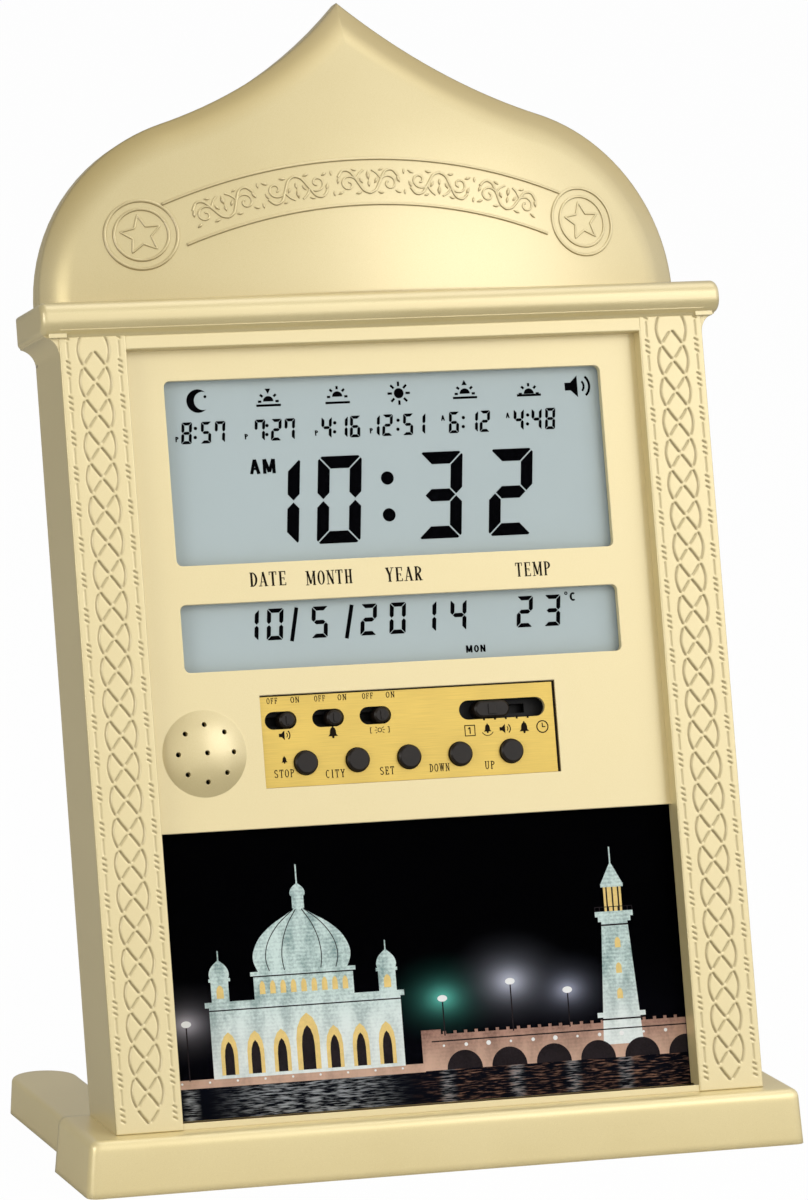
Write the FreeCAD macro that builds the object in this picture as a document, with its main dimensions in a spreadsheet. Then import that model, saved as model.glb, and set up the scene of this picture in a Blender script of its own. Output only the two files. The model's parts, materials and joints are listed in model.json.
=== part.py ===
import FreeCAD, Part
import math
import os
import re
import Sketcher

# Azan clock: a leaning moulded case with a display, a control plate, a speaker and
# a picture, on a horizontal plinth with two rear feet. Millimetres, +Z up, the clock
# faces -Y, and the origin is under the middle of the stand.
#
# Most sub-parts are drawn upright in the case's own frame: X across, Y from the front
# of the pilasters into the case, Z up along the case from the top of the plinth.
# lean_back() then sets them on the plinth.

doc = FreeCAD.newDocument("AzanClock")

# ---------------------------------------------------------------- driving dimensions

dimensions = {
    "stand": {
        "leanAngle": 13.7,
        "standDepth": 102.0,
        "plinthWidth": 181.0,
        "plinthDepth": 30.4,
        "plinthHeight": 13.4,
        "plinthLead": 6.8,
        "plinthDraft": 5.0,
        "plinthCorner": 2.4,
        "plinthRound": 2.2,
        "standWall": 2.0,
        "footWidth": 17.5,
        "footHeight": 9.0,
        "footOuter": 84.7,
        "footDraft": 3.0,
        "footRound": 1.2,
        "tongueWidth": 13.0,
        "tongueReach": 17.0,
        "footSink": 3.2,
        "footSinkDepth": 3.4,
        "standScrewX": 42.0,
        "standReach": 15.0,
        "standHole": 1.35,
        "standClear": 1.6,
    },
    "case": {
        "caseWidth": 163.6,
        "caseDepth": 22.6,
        "wall": 1.8,
        "coverWall": 2.0,
        "recessWidth": 130.4,
        "recessTop": 186.5,
        "sillHeight": 1.6,
        "stackDepth": 7.9,
        "bossRadius": 3.2,
        "bossHole": 1.15,
        "coverBoss": 3.3,
        "coverSink": 2.8,
        "coverBore": 1.3,
        "seatThick": 2.0,
        "bossX": 76.4,
        "seatDepth": 18.0,
    },
    "cornice": {
        "corniceWidth": 172.6,
        "corniceTop": 198.5,
        "corniceLead": 3.2,
        "rollHeight": 8.1,
        "rollRound": 3.6,
        "endRound": 1.6,
        "frontCove": 3.4,
        "endCove": 4.6,
    },
    "crest": {
        "apexHeight": 273.1,
        "shoulderX": 36.0,
        "shoulderHeight": 199.7,
        "shoulderRadius": 45.4,
        "swanRadius": 107.4,
        "bulgeRadius": 205.0,
        "bulgeHeight": 188.0,
        "bulgeFront": 0.2,
        "crestWall": 2.0,
        "keyholeRadius": 4.0,
        "keyholeSlot": 2.0,
        "keyholeRise": 7.0,
        "keyholeHeight": 226.0,
    },
    "fascia": {
        "fasciaSink": 3.5,
        "fasciaWall": 1.8,
        "fasciaWidth": 145.2,
        "fixingX": 70.0,
        "fixingBoss": 2.2,
        "fixingHole": 0.85,
        "fixingClear": 1.1,
        "displayWidth": 111.2,
        "mainBottom": 134.3,
        "mainTall": 44.7,
        "dateBottom": 108.6,
        "dateTall": 16.3,
        "windowRound": 1.5,
        "pictureTop": 70.4,
        "controlWidth": 75.0,
        "controlBottom": 79.9,
        "controlTall": 22.4,
        "controlSink": 0.8,
        "plateThick": 0.3,
        "postX": 62.0,
        "postRadius": 1.8,
        "postHole": 0.85,
    },
    "speaker": {
        "speakerX": -52.2,
        "speakerZ": 89.1,
        "grilleRadius": 10.5,
        "grilleRise": 2.6,
        "grilleRing": 6.9,
        "grilleHole": 0.6,
        "speakerRadius": 14.0,
        "earReach": 17.2,
        "earRadius": 2.2,
        "clampFront": 6.4,
        "clampThick": 1.0,
        "clampHole": 1.0,
        "magnetRadius": 8.0,
    },
    "controls": {
        "slotX": -32.5,
        "slotPitch": 11.95,
        "slotZ": 96.1,
        "slotLength": 8.0,
        "slotTall": 4.3,
        "knobLength": 4.0,
        "knobTravel": 3.2,
        "modeX": 23.7,
        "modeLength": 22.0,
        "modeTall": 4.7,
        "modeKnob": 9.0,
        "modeStep": 2.7,
        "buttonX": -27.0,
        "buttonPitch": 13.06,
        "buttonZ": 85.6,
        "buttonRadius": 2.85,
        "runningGap": 0.2,
        "capBevel": 0.45,
        "stemRadius": 1.6,
    },
    "inside": {
        "lensThick": 0.8,
        "backingFront": 6.5,
        "backingThick": 1.2,
        "pictureFoot": 2.1,
        "pictureLap": 2.2,
        "glassFront": 6.2,
        "glassPly": 1.1,
        "glassWidth": 118.0,
        "glassLap": 1.8,
        "glassRise": 4.6,
        "glassLedge": 3.0,
        "boardFront": 11.0,
        "boardThick": 1.6,
        "boardWidth": 129.0,
        "boardBottom": 106.6,
        "boardTall": 80.8,
        "switchBoardX": 0.8,
        "switchBoardZ": 91.0,
        "switchBoardWidth": 75.6,
        "switchBoardTall": 27.6,
        "cellRadius": 7.1,
        "cellLength": 49.2,
        "cellPitch": 14.8,
        "cellBevel": 0.6,
        "cellButton": 2.7,
        "cellZ": 40.0,
        "cellY": 16.6,
        "tabY": 14.0,
        "bayFloor": 8.2,
        "bayRear": 25.8,
        "doorThick": 1.6,
        "doorWidth": 58.0,
        "doorTall": 31.2,
        "doorGap": 0.3,
    },
}

sheet = doc.addObject("Spreadsheet::Sheet", "Sizes")
aliases = set()
row = 1
for group, entries in dimensions.items():
    sheet.set(f"A{row}", group)
    row += 1
    for alias, value in entries.items():
        sheet.set(f"A{row}", alias)
        sheet.set(f"B{row}", str(value))
        sheet.setAlias(f"B{row}", alias)
        aliases.add(alias)
        row += 1
doc.recompute()


def size(alias):
    """A dimension's value, for the code that sets a shape itself."""
    return float(sheet.get(alias))


# ---------------------------------------------------------------- helpers

X_AXIS = FreeCAD.Vector(1, 0, 0)
Y_AXIS = FreeCAD.Vector(0, 1, 0)
Z_AXIS = FreeCAD.Vector(0, 0, 1)
ORIGIN = FreeCAD.Vector(0, 0, 0)
TURN_TO = {
    "X": FreeCAD.Rotation(Y_AXIS, 90),
    "Y": FreeCAD.Rotation(X_AXIS, -90),
    "Z": FreeCAD.Rotation(),
}
nodes = {}


def formula(text):
    """The text as an expression, with each dimension's name pointing at its cell."""
    def cell(word):
        return "Sizes." + word[0] if word[0] in aliases else word[0]

    return re.sub(r"[A-Za-z]+", cell, str(text))


def bind(thing, **expressions):
    for name, text in expressions.items():
        thing.setExpression(name, formula(text))
    return thing


def place(thing, x=0, y=0, z=0, turn=None):
    if turn is not None:
        thing.Placement = FreeCAD.Placement(ORIGIN, turn)
    for axis, text in zip("xyz", (x, y, z)):
        thing.setExpression(f"Placement.Base.{axis}", formula(text))
    return thing


def box(name, x, y, z):
    """A box between two values on each axis."""
    thing = doc.addObject("Part::Box", name)
    spans = [f"({high}) - ({low})" for low, high in (x, y, z)]
    bind(thing, Length=spans[0], Width=spans[1], Height=spans[2])
    return place(thing, x[0], y[0], z[0])


def rod(name, radius, axis, span, x=0, y=0, z=0):
    """A cylinder along one axis, from span[0] to span[1] on it."""
    thing = doc.addObject("Part::Cylinder", name)
    bind(thing, Radius=radius, Height=f"({span[1]}) - ({span[0]})")
    start = {"X": (span[0], y, z), "Y": (x, span[0], z), "Z": (x, y, span[0])}[axis]
    return place(thing, *start, turn=TURN_TO[axis])


def fuse(name, *things):
    joined = doc.addObject("Part::MultiFuse", name)
    joined.Shapes = list(things)
    joined.Refine = True
    return joined


def cut(name, base, *tools):
    result = doc.addObject("Part::Cut", name)
    result.Base = base
    result.Tool = tools[0] if len(tools) == 1 else fuse(name + "_tools", *tools)
    result.Refine = True
    return result


def common(name, *things):
    shared = doc.addObject("Part::MultiCommon", name)
    shared.Shapes = list(things)
    return shared


def mirrored(name, source):
    """The source's mirror image across the clock's middle."""
    twin = doc.addObject("Part::Mirroring", name)
    twin.Source = source
    twin.Normal = X_AXIS
    return twin


def both_sides(name, source):
    return fuse(name, source, mirrored(name + "_twin", source))


def rounded(name, base, radius, choose):
    """Fillets on the edges that choose() picks."""
    doc.recompute()
    picked = [n for n, edge in enumerate(base.Shape.Edges, 1) if choose(edge)]
    fillet = doc.addObject("Part::Fillet", name)
    fillet.Base = base
    fillet.Edges = [(n, radius, radius) for n in picked]
    return fillet


def bevelled(name, base, width, choose):
    """Chamfers on the edges that choose() picks."""
    doc.recompute()
    picked = [n for n, edge in enumerate(base.Shape.Edges, 1) if choose(edge)]
    chamfer = doc.addObject("Part::Chamfer", name)
    chamfer.Base = base
    chamfer.Edges = [(n, width, width) for n in picked]
    return chamfer


def lies_at(edge, **at):
    """True where every vertex of the edge has these coordinates."""
    points = [vertex.Point for vertex in edge.Vertexes]
    return all(abs(getattr(point, axis) - value) < 1e-4 for point in points for axis, value in at.items())


def solid_feature(name, shape):
    """A shape that only Part's own functions make."""
    thing = doc.addObject("Part::Feature", name)
    thing.Shape = shape
    return thing


def lean_back(thing):
    """Sets a sub-part drawn in the case's frame on the plinth."""
    thing.Placement = FreeCAD.Placement(ORIGIN, FreeCAD.Rotation(-X_AXIS, 1))
    thing.setExpression("Placement.Rotation.Angle", formula("leanAngle"))
    thing.setExpression("Placement.Base.y", formula("plinthLead - standDepth / 2"))
    thing.setExpression("Placement.Base.z", formula("plinthHeight"))
    return thing


def node(label, thing, leaning=True):
    """Names a finished sub-part. One that already has a placement of its own is wrapped, to keep it."""
    placed_already = ("Part::Primitive", "Part::Mirroring", "Part::Revolution")
    if any(thing.isDerivedFrom(kind) for kind in placed_already):
        whole = doc.addObject("Part::Compound", label + "_whole")
        whole.Links = [thing]
        thing = whole
    thing.Label = label
    nodes[label] = lean_back(thing) if leaning else thing
    return thing


def origin_plane(body, role):
    return next(plane for plane in body.Origin.OriginFeatures if plane.Role == role)


def sketch_on(body, name, role, x=0, y=0, z=0):
    """A sketch on one of the body's origin planes, moved by x, y, z in the sketch's own axes."""
    sketch = body.newObject("Sketcher::SketchObject", name)
    sketch.AttachmentSupport = (origin_plane(body, role), [""])
    sketch.MapMode = "FlatFace"
    for axis, text in zip("xyz", (x, y, z)):
        sketch.setExpression(f"AttachmentOffset.Base.{axis}", formula(text))
    return sketch


def dimension(sketch, name, text, *constraint):
    """Adds a constraint with a name and binds it."""
    index = sketch.addConstraint(Sketcher.Constraint(*constraint))
    sketch.renameConstraint(index, name)
    sketch.setExpression("Constraints." + name, formula(text))


def circle_in(sketch, radius):
    ring = sketch.addGeometry(Part.Circle(ORIGIN, Z_AXIS, 1.0), False)
    sketch.addConstraint(Sketcher.Constraint("Coincident", ring, 3, -1, 1))
    dimension(sketch, "radius", radius, "Radius", ring, 1.0)


def rectangle_in(sketch, width, height):
    """A rectangle centred on the sketch's origin."""
    corners = [FreeCAD.Vector(x, y, 0) for x, y in ((-9, -9), (9, -9), (9, 9), (-9, 9))]
    sides = [
        sketch.addGeometry(Part.LineSegment(corners[n], corners[(n + 1) % 4]), False) for n in range(4)
    ]
    for n in range(4):
        sketch.addConstraint(Sketcher.Constraint("Coincident", sides[n], 2, sides[(n + 1) % 4], 1))
        sketch.addConstraint(Sketcher.Constraint("Vertical" if n % 2 else "Horizontal", sides[n]))
    sketch.addConstraint(Sketcher.Constraint("Symmetric", sides[0], 1, sides[2], 1, -1, 1))
    dimension(sketch, "width", width, "DistanceX", sides[0], 1, sides[0], 2, 18.0)
    dimension(sketch, "height", height, "DistanceY", sides[1], 1, sides[1], 2, 18.0)


def pad(body, sketch, length, **settings):
    feature = body.newObject("PartDesign::Pad", sketch.Name + "_pad")
    feature.Profile = sketch
    for name, value in settings.items():
        setattr(feature, name, value)
    return bind(feature, Length=length)


def pocket(body, sketch, length, **settings):
    feature = body.newObject("PartDesign::Pocket", sketch.Name + "_pocket")
    feature.Profile = sketch
    for name, value in settings.items():
        setattr(feature, name, value)
    return bind(feature, Length=length)


def dress(body, kind, base, radius, choose):
    """A PartDesign fillet or chamfer on the edges that choose() picks."""
    doc.recompute()
    edges = [f"Edge{n}" for n, edge in enumerate(base.Shape.Edges, 1) if choose(edge)]
    feature = body.newObject("PartDesign::" + kind, base.Name + "_" + kind.lower())
    feature.Base = (base, edges)
    bind(feature, **{"Radius" if kind == "Fillet" else "Size": radius})
    return feature


def drafted(body, base, angle):
    """Leans the pad's upright sides inwards, so that it comes out of its mould."""
    doc.recompute()
    sides = [f"Face{n}" for n, face in enumerate(base.Shape.Faces, 1) if face.BoundBox.ZLength > 1]
    feature = body.newObject("PartDesign::Draft", base.Name + "_draft")
    feature.Base = (base, sides)
    feature.NeutralPlane = (origin_plane(body, "XY_Plane"), [""])
    return bind(feature, Angle=angle)


# ---------------------------------------------------------------- front frame

CASE_SIDE = ("-caseWidth / 2", "caseWidth / 2")
COVER_FRONT = "caseDepth - coverWall"


def ground_cutter(name):
    """What lies below the top of the plinth, in the case's frame."""
    slab = doc.addObject("Part::Box", name)
    bind(slab, Length="2 * plinthWidth", Width="4 * caseDepth", Height="caseDepth")
    slab.Placement = FreeCAD.Placement(ORIGIN, FreeCAD.Rotation(X_AXIS, 1))
    slab.setExpression("Placement.Rotation.Angle", formula("leanAngle"))
    slab.setExpression("Placement.Base.x", formula("-plinthWidth"))
    slab.setExpression("Placement.Base.y", formula("caseDepth * (sin(leanAngle) - 2 * cos(leanAngle))"))
    slab.setExpression("Placement.Base.z", formula("-caseDepth * (cos(leanAngle) + 2 * sin(leanAngle))"))
    return slab


def upright_rod(name, radius, x, reach, start, length):
    """A cylinder that stands upright in the finished clock, reach behind the case's front line."""
    thing = doc.addObject("Part::Cylinder", name)
    bind(thing, Radius=radius, Height=length)
    thing.Placement = FreeCAD.Placement(ORIGIN, FreeCAD.Rotation(X_AXIS, 1))
    thing.setExpression("Placement.Rotation.Angle", formula("leanAngle"))
    thing.setExpression("Placement.Base.x", formula(x))
    thing.setExpression(
        "Placement.Base.y", formula(f"({reach}) * cos(leanAngle) - ({start}) * sin(leanAngle)")
    )
    thing.setExpression(
        "Placement.Base.z", formula(f"({reach}) * sin(leanAngle) + ({start}) * cos(leanAngle)")
    )
    return thing


CASE_BOSS_HEIGHTS = (24, 104, 176)
CREST_BOSSES = ((52, 211), (-52, 211), (0, 252))
BACKING_HEIGHTS = (12, 62)
FASCIA_HEIGHTS = (112, 183)


def cornice():
    """The roll with its coves below, running round the front and both ends."""
    roll = box(
        "roll",
        ("-corniceWidth / 2", "corniceWidth / 2"),
        ("-corniceLead", "caseDepth"),
        ("corniceTop - rollHeight", "corniceTop"),
    )
    lead, half = -size("corniceLead"), size("corniceWidth") / 2
    long_edges = rounded(
        "roll_front",
        roll,
        size("rollRound"),
        lambda e: lies_at(e, y=lead) and e.Length > half,
    )
    ends = rounded(
        "roll_ends",
        long_edges,
        size("endRound"),
        lambda e: lies_at(e, x=half) or lies_at(e, x=-half),
    )
    front_cove = cut(
        "front_cove",
        box(
            "front_cove_block",
            CASE_SIDE,
            ("1 - frontCove", "wall"),
            ("corniceTop - 1.27 * rollHeight", "corniceTop - 0.85 * rollHeight"),
        ),
        rod("front_cove_hollow", "frontCove", "X", ("-caseWidth", "caseWidth"),
            y="-frontCove", z="corniceTop - 1.27 * rollHeight"),
    )
    end_top = "corniceTop - 0.9 * rollHeight"
    end_bottom = "corniceTop - rollHeight - endCove"
    end_cove = cut(
        "end_cove",
        box(
            "end_cove_block",
            ("caseWidth / 2 - wall", "caseWidth / 2 + endCove - 1"),
            ("0", "caseDepth"),
            (end_bottom, end_top),
        ),
        rod("end_cove_hollow", "endCove", "Y", ("-1", "caseDepth + 1"),
            x="caseWidth / 2 + endCove", z=end_bottom),
    )
    corner_fill = box(
        "corner_fill",
        ("caseWidth / 2 - wall", "caseWidth / 2 + endCove - 2"),
        ("2 - frontCove", "wall"),
        ("corniceTop - rollHeight - 0.6", end_top),
    )
    return fuse("cornice", ends, front_cove, both_sides("end_coves", end_cove),
                both_sides("corner_fills", corner_fill))


def front_frame():
    shell = fuse(
        "frame_block",
        box("case_block", CASE_SIDE, ("0", COVER_FRONT), ("-1", "corniceTop - rollHeight / 2")),
        cornice(),
    )
    cavity = box(
        "frame_cavity",
        ("wall - caseWidth / 2", "caseWidth / 2 - wall"),
        ("wall", "2 * caseDepth"),
        ("-2", "corniceTop - wall"),
    )
    cover_seat = box("cover_seat", CASE_SIDE, (COVER_FRONT, "2 * caseDepth"), ("-2", "2 * corniceTop"))
    recess = box(
        "recess",
        ("-recessWidth / 2", "recessWidth / 2"),
        ("-1", "fasciaSink + 1"),
        ("sillHeight", "recessTop"),
    )
    side_return = box(
        "side_return",
        ("recessWidth / 2", "recessWidth / 2 + wall"),
        ("0", "fasciaSink"),
        ("0", "recessTop"),
    )
    top_return = box(
        "top_return",
        ("-recessWidth / 2 - wall", "recessWidth / 2 + wall"),
        ("0", "fasciaSink"),
        ("recessTop", "recessTop + wall"),
    )
    sill = box(
        "sill", ("-recessWidth / 2", "recessWidth / 2"), ("0", "fasciaSink"), ("-1", "sillHeight")
    )
    floor_slab = ground_cutter("case_floor")
    floor_rise = "wall - caseDepth * (cos(leanAngle) + 2 * sin(leanAngle))"
    floor_slab.setExpression("Placement.Base.z", formula(floor_rise))
    floor = common(
        "floor",
        floor_slab,
        box(
            "floor_block",
            ("wall / 2 - caseWidth / 2", "caseWidth / 2 - wall / 2"),
            ("stackDepth", COVER_FRONT),
            ("-1", "caseDepth"),
        ),
    )
    bosses = []
    holes = []
    for n, height in enumerate(CASE_BOSS_HEIGHTS):
        boss = rod(f"case_boss_{n}", "bossRadius", "Y", ("wall / 2", "seatDepth"), x="bossX", z=height)
        hole = rod(f"case_boss_hole_{n}", "bossHole", "Y", (6, "caseDepth"), x="bossX", z=height)
        bosses.append(both_sides(f"case_bosses_{n}", boss))
        holes.append(both_sides(f"case_boss_holes_{n}", hole))
    for n, height in enumerate(BACKING_HEIGHTS + FASCIA_HEIGHTS):
        boss = rod(f"fixing_boss_{n}", "fixingBoss", "Y", ("wall / 2", "fasciaSink"), x="fixingX", z=height)
        hole = rod(f"fixing_hole_{n}", "fixingHole", "Y", (1, 8), x="fixingX", z=height)
        bosses.append(both_sides(f"fixing_bosses_{n}", boss))
        holes.append(both_sides(f"fixing_holes_{n}", hole))
    stand_boss = upright_rod("stand_boss", "bossRadius", "standScrewX", "standReach", 0.5, 9.5)
    stand_hole = upright_rod("stand_hole", "standHole", "standScrewX", "standReach", -1, 10)
    hollow = cut("frame_hollow", shell, cavity, cover_seat, recess)
    solid = fuse(
        "frame_solid", hollow, both_sides("side_returns", side_return), top_return, sill, floor,
        both_sides("stand_bosses", stand_boss), *bosses,
    )
    return cut(
        "front_frame", solid, ground_cutter("frame_ground"), both_sides("stand_holes", stand_hole), *holes
    )


node("front_frame", front_frame())

# ---------------------------------------------------------------- crest


def crest_outline(inset=0.0, base=None):
    """Half circles of the shoulders meeting two swan-neck arcs in a point, as a closed face."""
    shoulder = FreeCAD.Vector(size("shoulderX"), 0, size("shoulderHeight"))
    apex = FreeCAD.Vector(0, 0, size("apexHeight"))
    swan = size("swanRadius")
    apart = swan + size("shoulderRadius")
    span = shoulder.sub(apex)
    gap = span.Length
    along = (swan**2 - apart**2 + gap**2) / (2 * gap)
    aside = math.sqrt(swan**2 - along**2)
    unit = span.multiply(1 / gap)
    side = FreeCAD.Vector(-unit.z, 0, unit.x)
    swan_centre = apex + unit * along + side * aside
    radius = size("shoulderRadius") - inset
    swan += inset
    base = size("corniceTop") if base is None else base

    def on_circle(centre, reach, angle):
        return centre + FreeCAD.Vector(math.cos(angle), 0, math.sin(angle)) * reach

    to_shoulder = swan_centre.sub(shoulder)
    meet = math.atan2(to_shoulder.z, to_shoulder.x)
    foot = math.asin((base - shoulder.z) / radius)
    tip = FreeCAD.Vector(0, 0, swan_centre.z - math.sqrt(swan**2 - swan_centre.x**2))
    start = math.atan2(tip.z - swan_centre.z, tip.x - swan_centre.x)
    end = meet - math.pi
    joint = on_circle(shoulder, radius, meet)
    corner = on_circle(shoulder, radius, foot)
    right = [
        Part.Arc(corner, on_circle(shoulder, radius, (foot + meet) / 2), joint),
        Part.Arc(joint, on_circle(swan_centre, swan, (start + end) / 2), tip),
    ]
    edges = [arc.toShape() for arc in right]
    half = Part.Wire(edges)
    other = half.mirror(ORIGIN, X_AXIS)
    left_corner = FreeCAD.Vector(-corner.x, 0, corner.z)
    closing = Part.LineSegment(left_corner, corner).toShape()
    return Part.Face(Part.Wire(Part.__sortEdges__(edges + other.Edges + [closing])))


def crest_prism(name, inset, rear, base=None):
    """The crest's outline from in front of the case back to rear."""
    face = solid_feature(name + "_face", crest_outline(inset, base))
    prism = doc.addObject("Part::Extrusion", name)
    prism.Base = face
    prism.DirMode = "Custom"
    prism.Dir = Y_AXIS
    prism.Solid = True
    return bind(prism, LengthFwd=rear)


def bulge(name, radius, front):
    """The ball whose front is the crest's face."""
    ball = doc.addObject("Part::Sphere", name)
    bind(ball, Radius=radius)
    return place(ball, 0, f"({front}) + ({radius})", "bulgeHeight")


def crest():
    outer = common(
        "crest_outer",
        crest_prism("crest_block", 0.0, COVER_FRONT),
        bulge("crest_ball", "bulgeRadius", "bulgeFront"),
    )
    inner = common(
        "crest_inner",
        crest_prism("crest_core", size("crestWall"), "caseDepth + 5", size("corniceTop") - 1),
        bulge("crest_inner_ball", "bulgeRadius", "bulgeFront + crestWall"),
    )
    shell = cut("crest_shell", outer, inner)
    tools = []
    posts = []
    for n, (x, z) in enumerate(CREST_BOSSES):
        posts.append(rod(f"crest_post_{n}", "bossRadius", "Y", (1, "seatDepth"), x=x, z=z))
        tools.append(rod(f"crest_post_hole_{n}", "bossHole", "Y", (12.5, "caseDepth"), x=x, z=z))
    inside = common(
        "crest_posts",
        fuse("crest_post_rods", *posts),
        crest_prism("crest_trim", 0.0, COVER_FRONT),
        bulge("crest_trim_ball", "bulgeRadius", "bulgeFront + crestWall / 2"),
    )
    return cut("crest", fuse("crest_solid", shell, inside), *tools)


node("crest", crest())

# ---------------------------------------------------------------- rear cover and battery bay

BAY_X = ("-doorWidth / 2 - doorThick - 0.8", "doorWidth / 2 + doorThick + 0.8")
BAY_Z = ("cellZ - doorTall / 2 - doorThick", "cellZ + doorTall / 2 + doorThick")
CELL_ROWS = ("cellZ + cellPitch / 2", "cellZ - cellPitch / 2")


def rear_cover():
    plate = fuse(
        "cover_plate",
        box("cover_block", CASE_SIDE, (COVER_FRONT, "caseDepth"), ("-1", "corniceTop")),
        cut(
            "cover_crest",
            crest_prism("cover_crest_block", 0.0, "caseDepth"),
            box("cover_crest_trim", ("-corniceWidth", "corniceWidth"), ("-caseDepth", COVER_FRONT),
                ("0", "2 * corniceTop")),
        ),
    )
    bay = box("bay_block", BAY_X, ("bayFloor", "bayRear"), BAY_Z)
    inside = box(
        "bay_inside",
        ("1.2 - doorWidth / 2", "doorWidth / 2 - 1.2"),
        ("bayFloor + 1.1", "bayRear + 1"),
        ("cellZ - doorTall / 2 + 0.7", "cellZ + doorTall / 2 - 0.7"),
    )
    door_opening = box(
        "door_opening",
        ("-doorWidth / 2 - doorGap", "doorWidth / 2 + doorGap"),
        ("bayRear - doorThick - 0.1", "bayRear + 1"),
        ("cellZ - doorTall / 2 - doorGap", "cellZ + doorTall / 2 + doorGap"),
    )
    finger_notch = rod("finger_notch", 5, "Y", ("bayRear - doorThick - 0.1", "bayRear + 1"),
                       z="cellZ + doorTall / 2 + 3.2")
    pin_holes = rod(
        "pin_holes", "doorThick / 2 - 0.1", "X",
        ("-doorWidth / 2 - 1.4", "doorWidth / 2 + 1.4"),
        y="bayRear - doorThick / 2", z="cellZ - doorTall / 2 + doorThick / 2",
    )
    through = (f"{COVER_FRONT} - 1", "caseDepth + 1")
    keyhole = fuse(
        "keyhole",
        rod("keyhole_round", "keyholeRadius", "Y", through, z="keyholeHeight"),
        box("keyhole_slot", ("-keyholeSlot", "keyholeSlot"), through,
            ("keyholeHeight", "keyholeHeight + keyholeRise")),
        rod("keyhole_top", "keyholeSlot", "Y", through, z="keyholeHeight + keyholeRise"),
    )
    sunk = ("seatDepth + seatThick", "caseDepth + 1")
    bosses = []
    bores = []
    spots = [(side * size("bossX"), z) for z in CASE_BOSS_HEIGHTS for side in (1, -1)]
    for n, (x, z) in enumerate(spots + list(CREST_BOSSES)):
        bosses.append(rod(f"cover_boss_{n}", "coverBoss", "Y", ("seatDepth", "caseDepth - 1"), x=x, z=z))
        bores.append(rod(f"cover_sink_{n}", "coverSink", "Y", sunk, x=x, z=z))
        bores.append(rod(f"cover_bore_{n}", "coverBore", "Y", ("seatDepth - 1", "caseDepth"), x=x, z=z))
    tab_slots = [
        box(f"tab_slot_{n}", ("doorWidth / 2 - 3", "doorWidth / 2 + 5"), ("tabY - 0.3", "tabY + 0.3"),
            (f"{z} - 1.6", f"{z} + 1.6"))
        for n, z in enumerate(CELL_ROWS)
    ]
    solid = fuse("cover_solid", plate, bay, *bosses)
    return cut("rear_cover", solid, ground_cutter("cover_ground"), inside, door_opening, finger_notch,
               pin_holes, keyhole, *tab_slots, *bores)


node("rear_cover", rear_cover())


def battery_door():
    """A flat door with a full-round hinge edge, two stub pins and a finger ledge."""
    body = doc.addObject("PartDesign::Body", "battery_door")
    outline = sketch_on(body, "door_outline", "XZ_Plane", 0, "cellZ", "-bayRear")
    rectangle_in(outline, "doorWidth", "doorTall")
    slab = pad(body, outline, "doorThick")
    foot = size("cellZ") - size("doorTall") / 2
    dress(body, "Fillet", slab, "doorThick / 2 - 0.01", lambda e: lies_at(e, z=foot) and e.Length > 20)
    pins = sketch_on(body, "door_pins", "YZ_Plane", "bayRear - doorThick / 2",
                     "cellZ - doorTall / 2 + doorThick / 2", 0)
    circle_in(pins, "doorThick / 2 - 0.2")
    pad(body, pins, "doorWidth + 2", Midplane=True)
    return body


node("battery_door", battery_door())


CONTACT_OUT = "doorWidth / 2 - 1.2"
CONTACT_IN = "doorWidth / 2 - 1.6"


def cell(name, side):
    """A round cell lying along X, with its positive button towards side."""
    middle = f"cellZ + ({side}) * cellPitch / 2"
    ends = (f"{CONTACT_IN} - 1 - cellLength", f"{CONTACT_IN} - 1")
    tip = (f"{CONTACT_IN} - 2", CONTACT_IN)
    if side < 0:
        ends = (f"-({ends[1]})", f"-({ends[0]})")
        tip = (f"-({tip[1]})", f"-({tip[0]})")
    can = rod(name + "_can", "cellRadius", "X", ends, y="cellY", z=middle)
    girth = 2 * math.pi * size("cellRadius")
    edge = bevelled(name + "_bevelled", can, size("cellBevel"), lambda e: abs(e.Length - girth) < 0.01)
    button = rod(name + "_button", "cellButton", "X", tip, y="cellY", z=middle)
    return fuse(name, edge, button)


node("battery_upper", cell("battery_upper", 1))
node("battery_lower", cell("battery_lower", -1))


def contact_plate(name, x, zs):
    return box(name, x, ("cellY - 5", "cellY + 5"), zs)


def tabbed_contact(name, middle):
    """An end contact: its plate, and the solder tab that goes out through the bay's wall."""
    plate = contact_plate(name + "_plate", (CONTACT_IN, CONTACT_OUT), (f"{middle} - 5", f"{middle} + 5"))
    tab = box(name + "_tab", (CONTACT_IN, "doorWidth / 2 + 4.4"), ("tabY - 0.2", "tabY + 0.2"),
              (f"{middle} - 1.5", f"{middle} + 1.5"))
    return fuse(name, plate, tab)


def coil(x, z, reach):
    """A short battery spring: wire wound into a cone, from x inwards."""
    wire = 0.5
    base = 3.4
    turns = 2
    spine = Part.makeHelix(abs(reach) / turns, abs(reach), base, -20)
    square = ((-0.5, -0.5), (0.5, -0.5), (0.5, 0.5), (-0.5, 0.5))
    corners = [FreeCAD.Vector(base + wire * dx, 0, wire * dz) for dx, dz in square]
    section = Part.makePolygon(corners + corners[:1])
    coil_shape = Part.Wire(spine).makePipeShell([section], True, True)
    turn = FreeCAD.Rotation(Y_AXIS, 90 if reach > 0 else -90)
    coil_shape.Placement = FreeCAD.Placement(FreeCAD.Vector(x, size("cellY"), z), turn)
    return coil_shape


node("contact_bridge", contact_plate("contact_bridge", (f"-({CONTACT_OUT})", f"-({CONTACT_IN})"),
                                     ("cellZ - cellPitch / 2 - 5", "cellZ + cellPitch / 2 + 5")))
node("contact_positive", tabbed_contact("contact_positive", CELL_ROWS[0]))
node("contact_negative", tabbed_contact("contact_negative", CELL_ROWS[1]))


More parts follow.
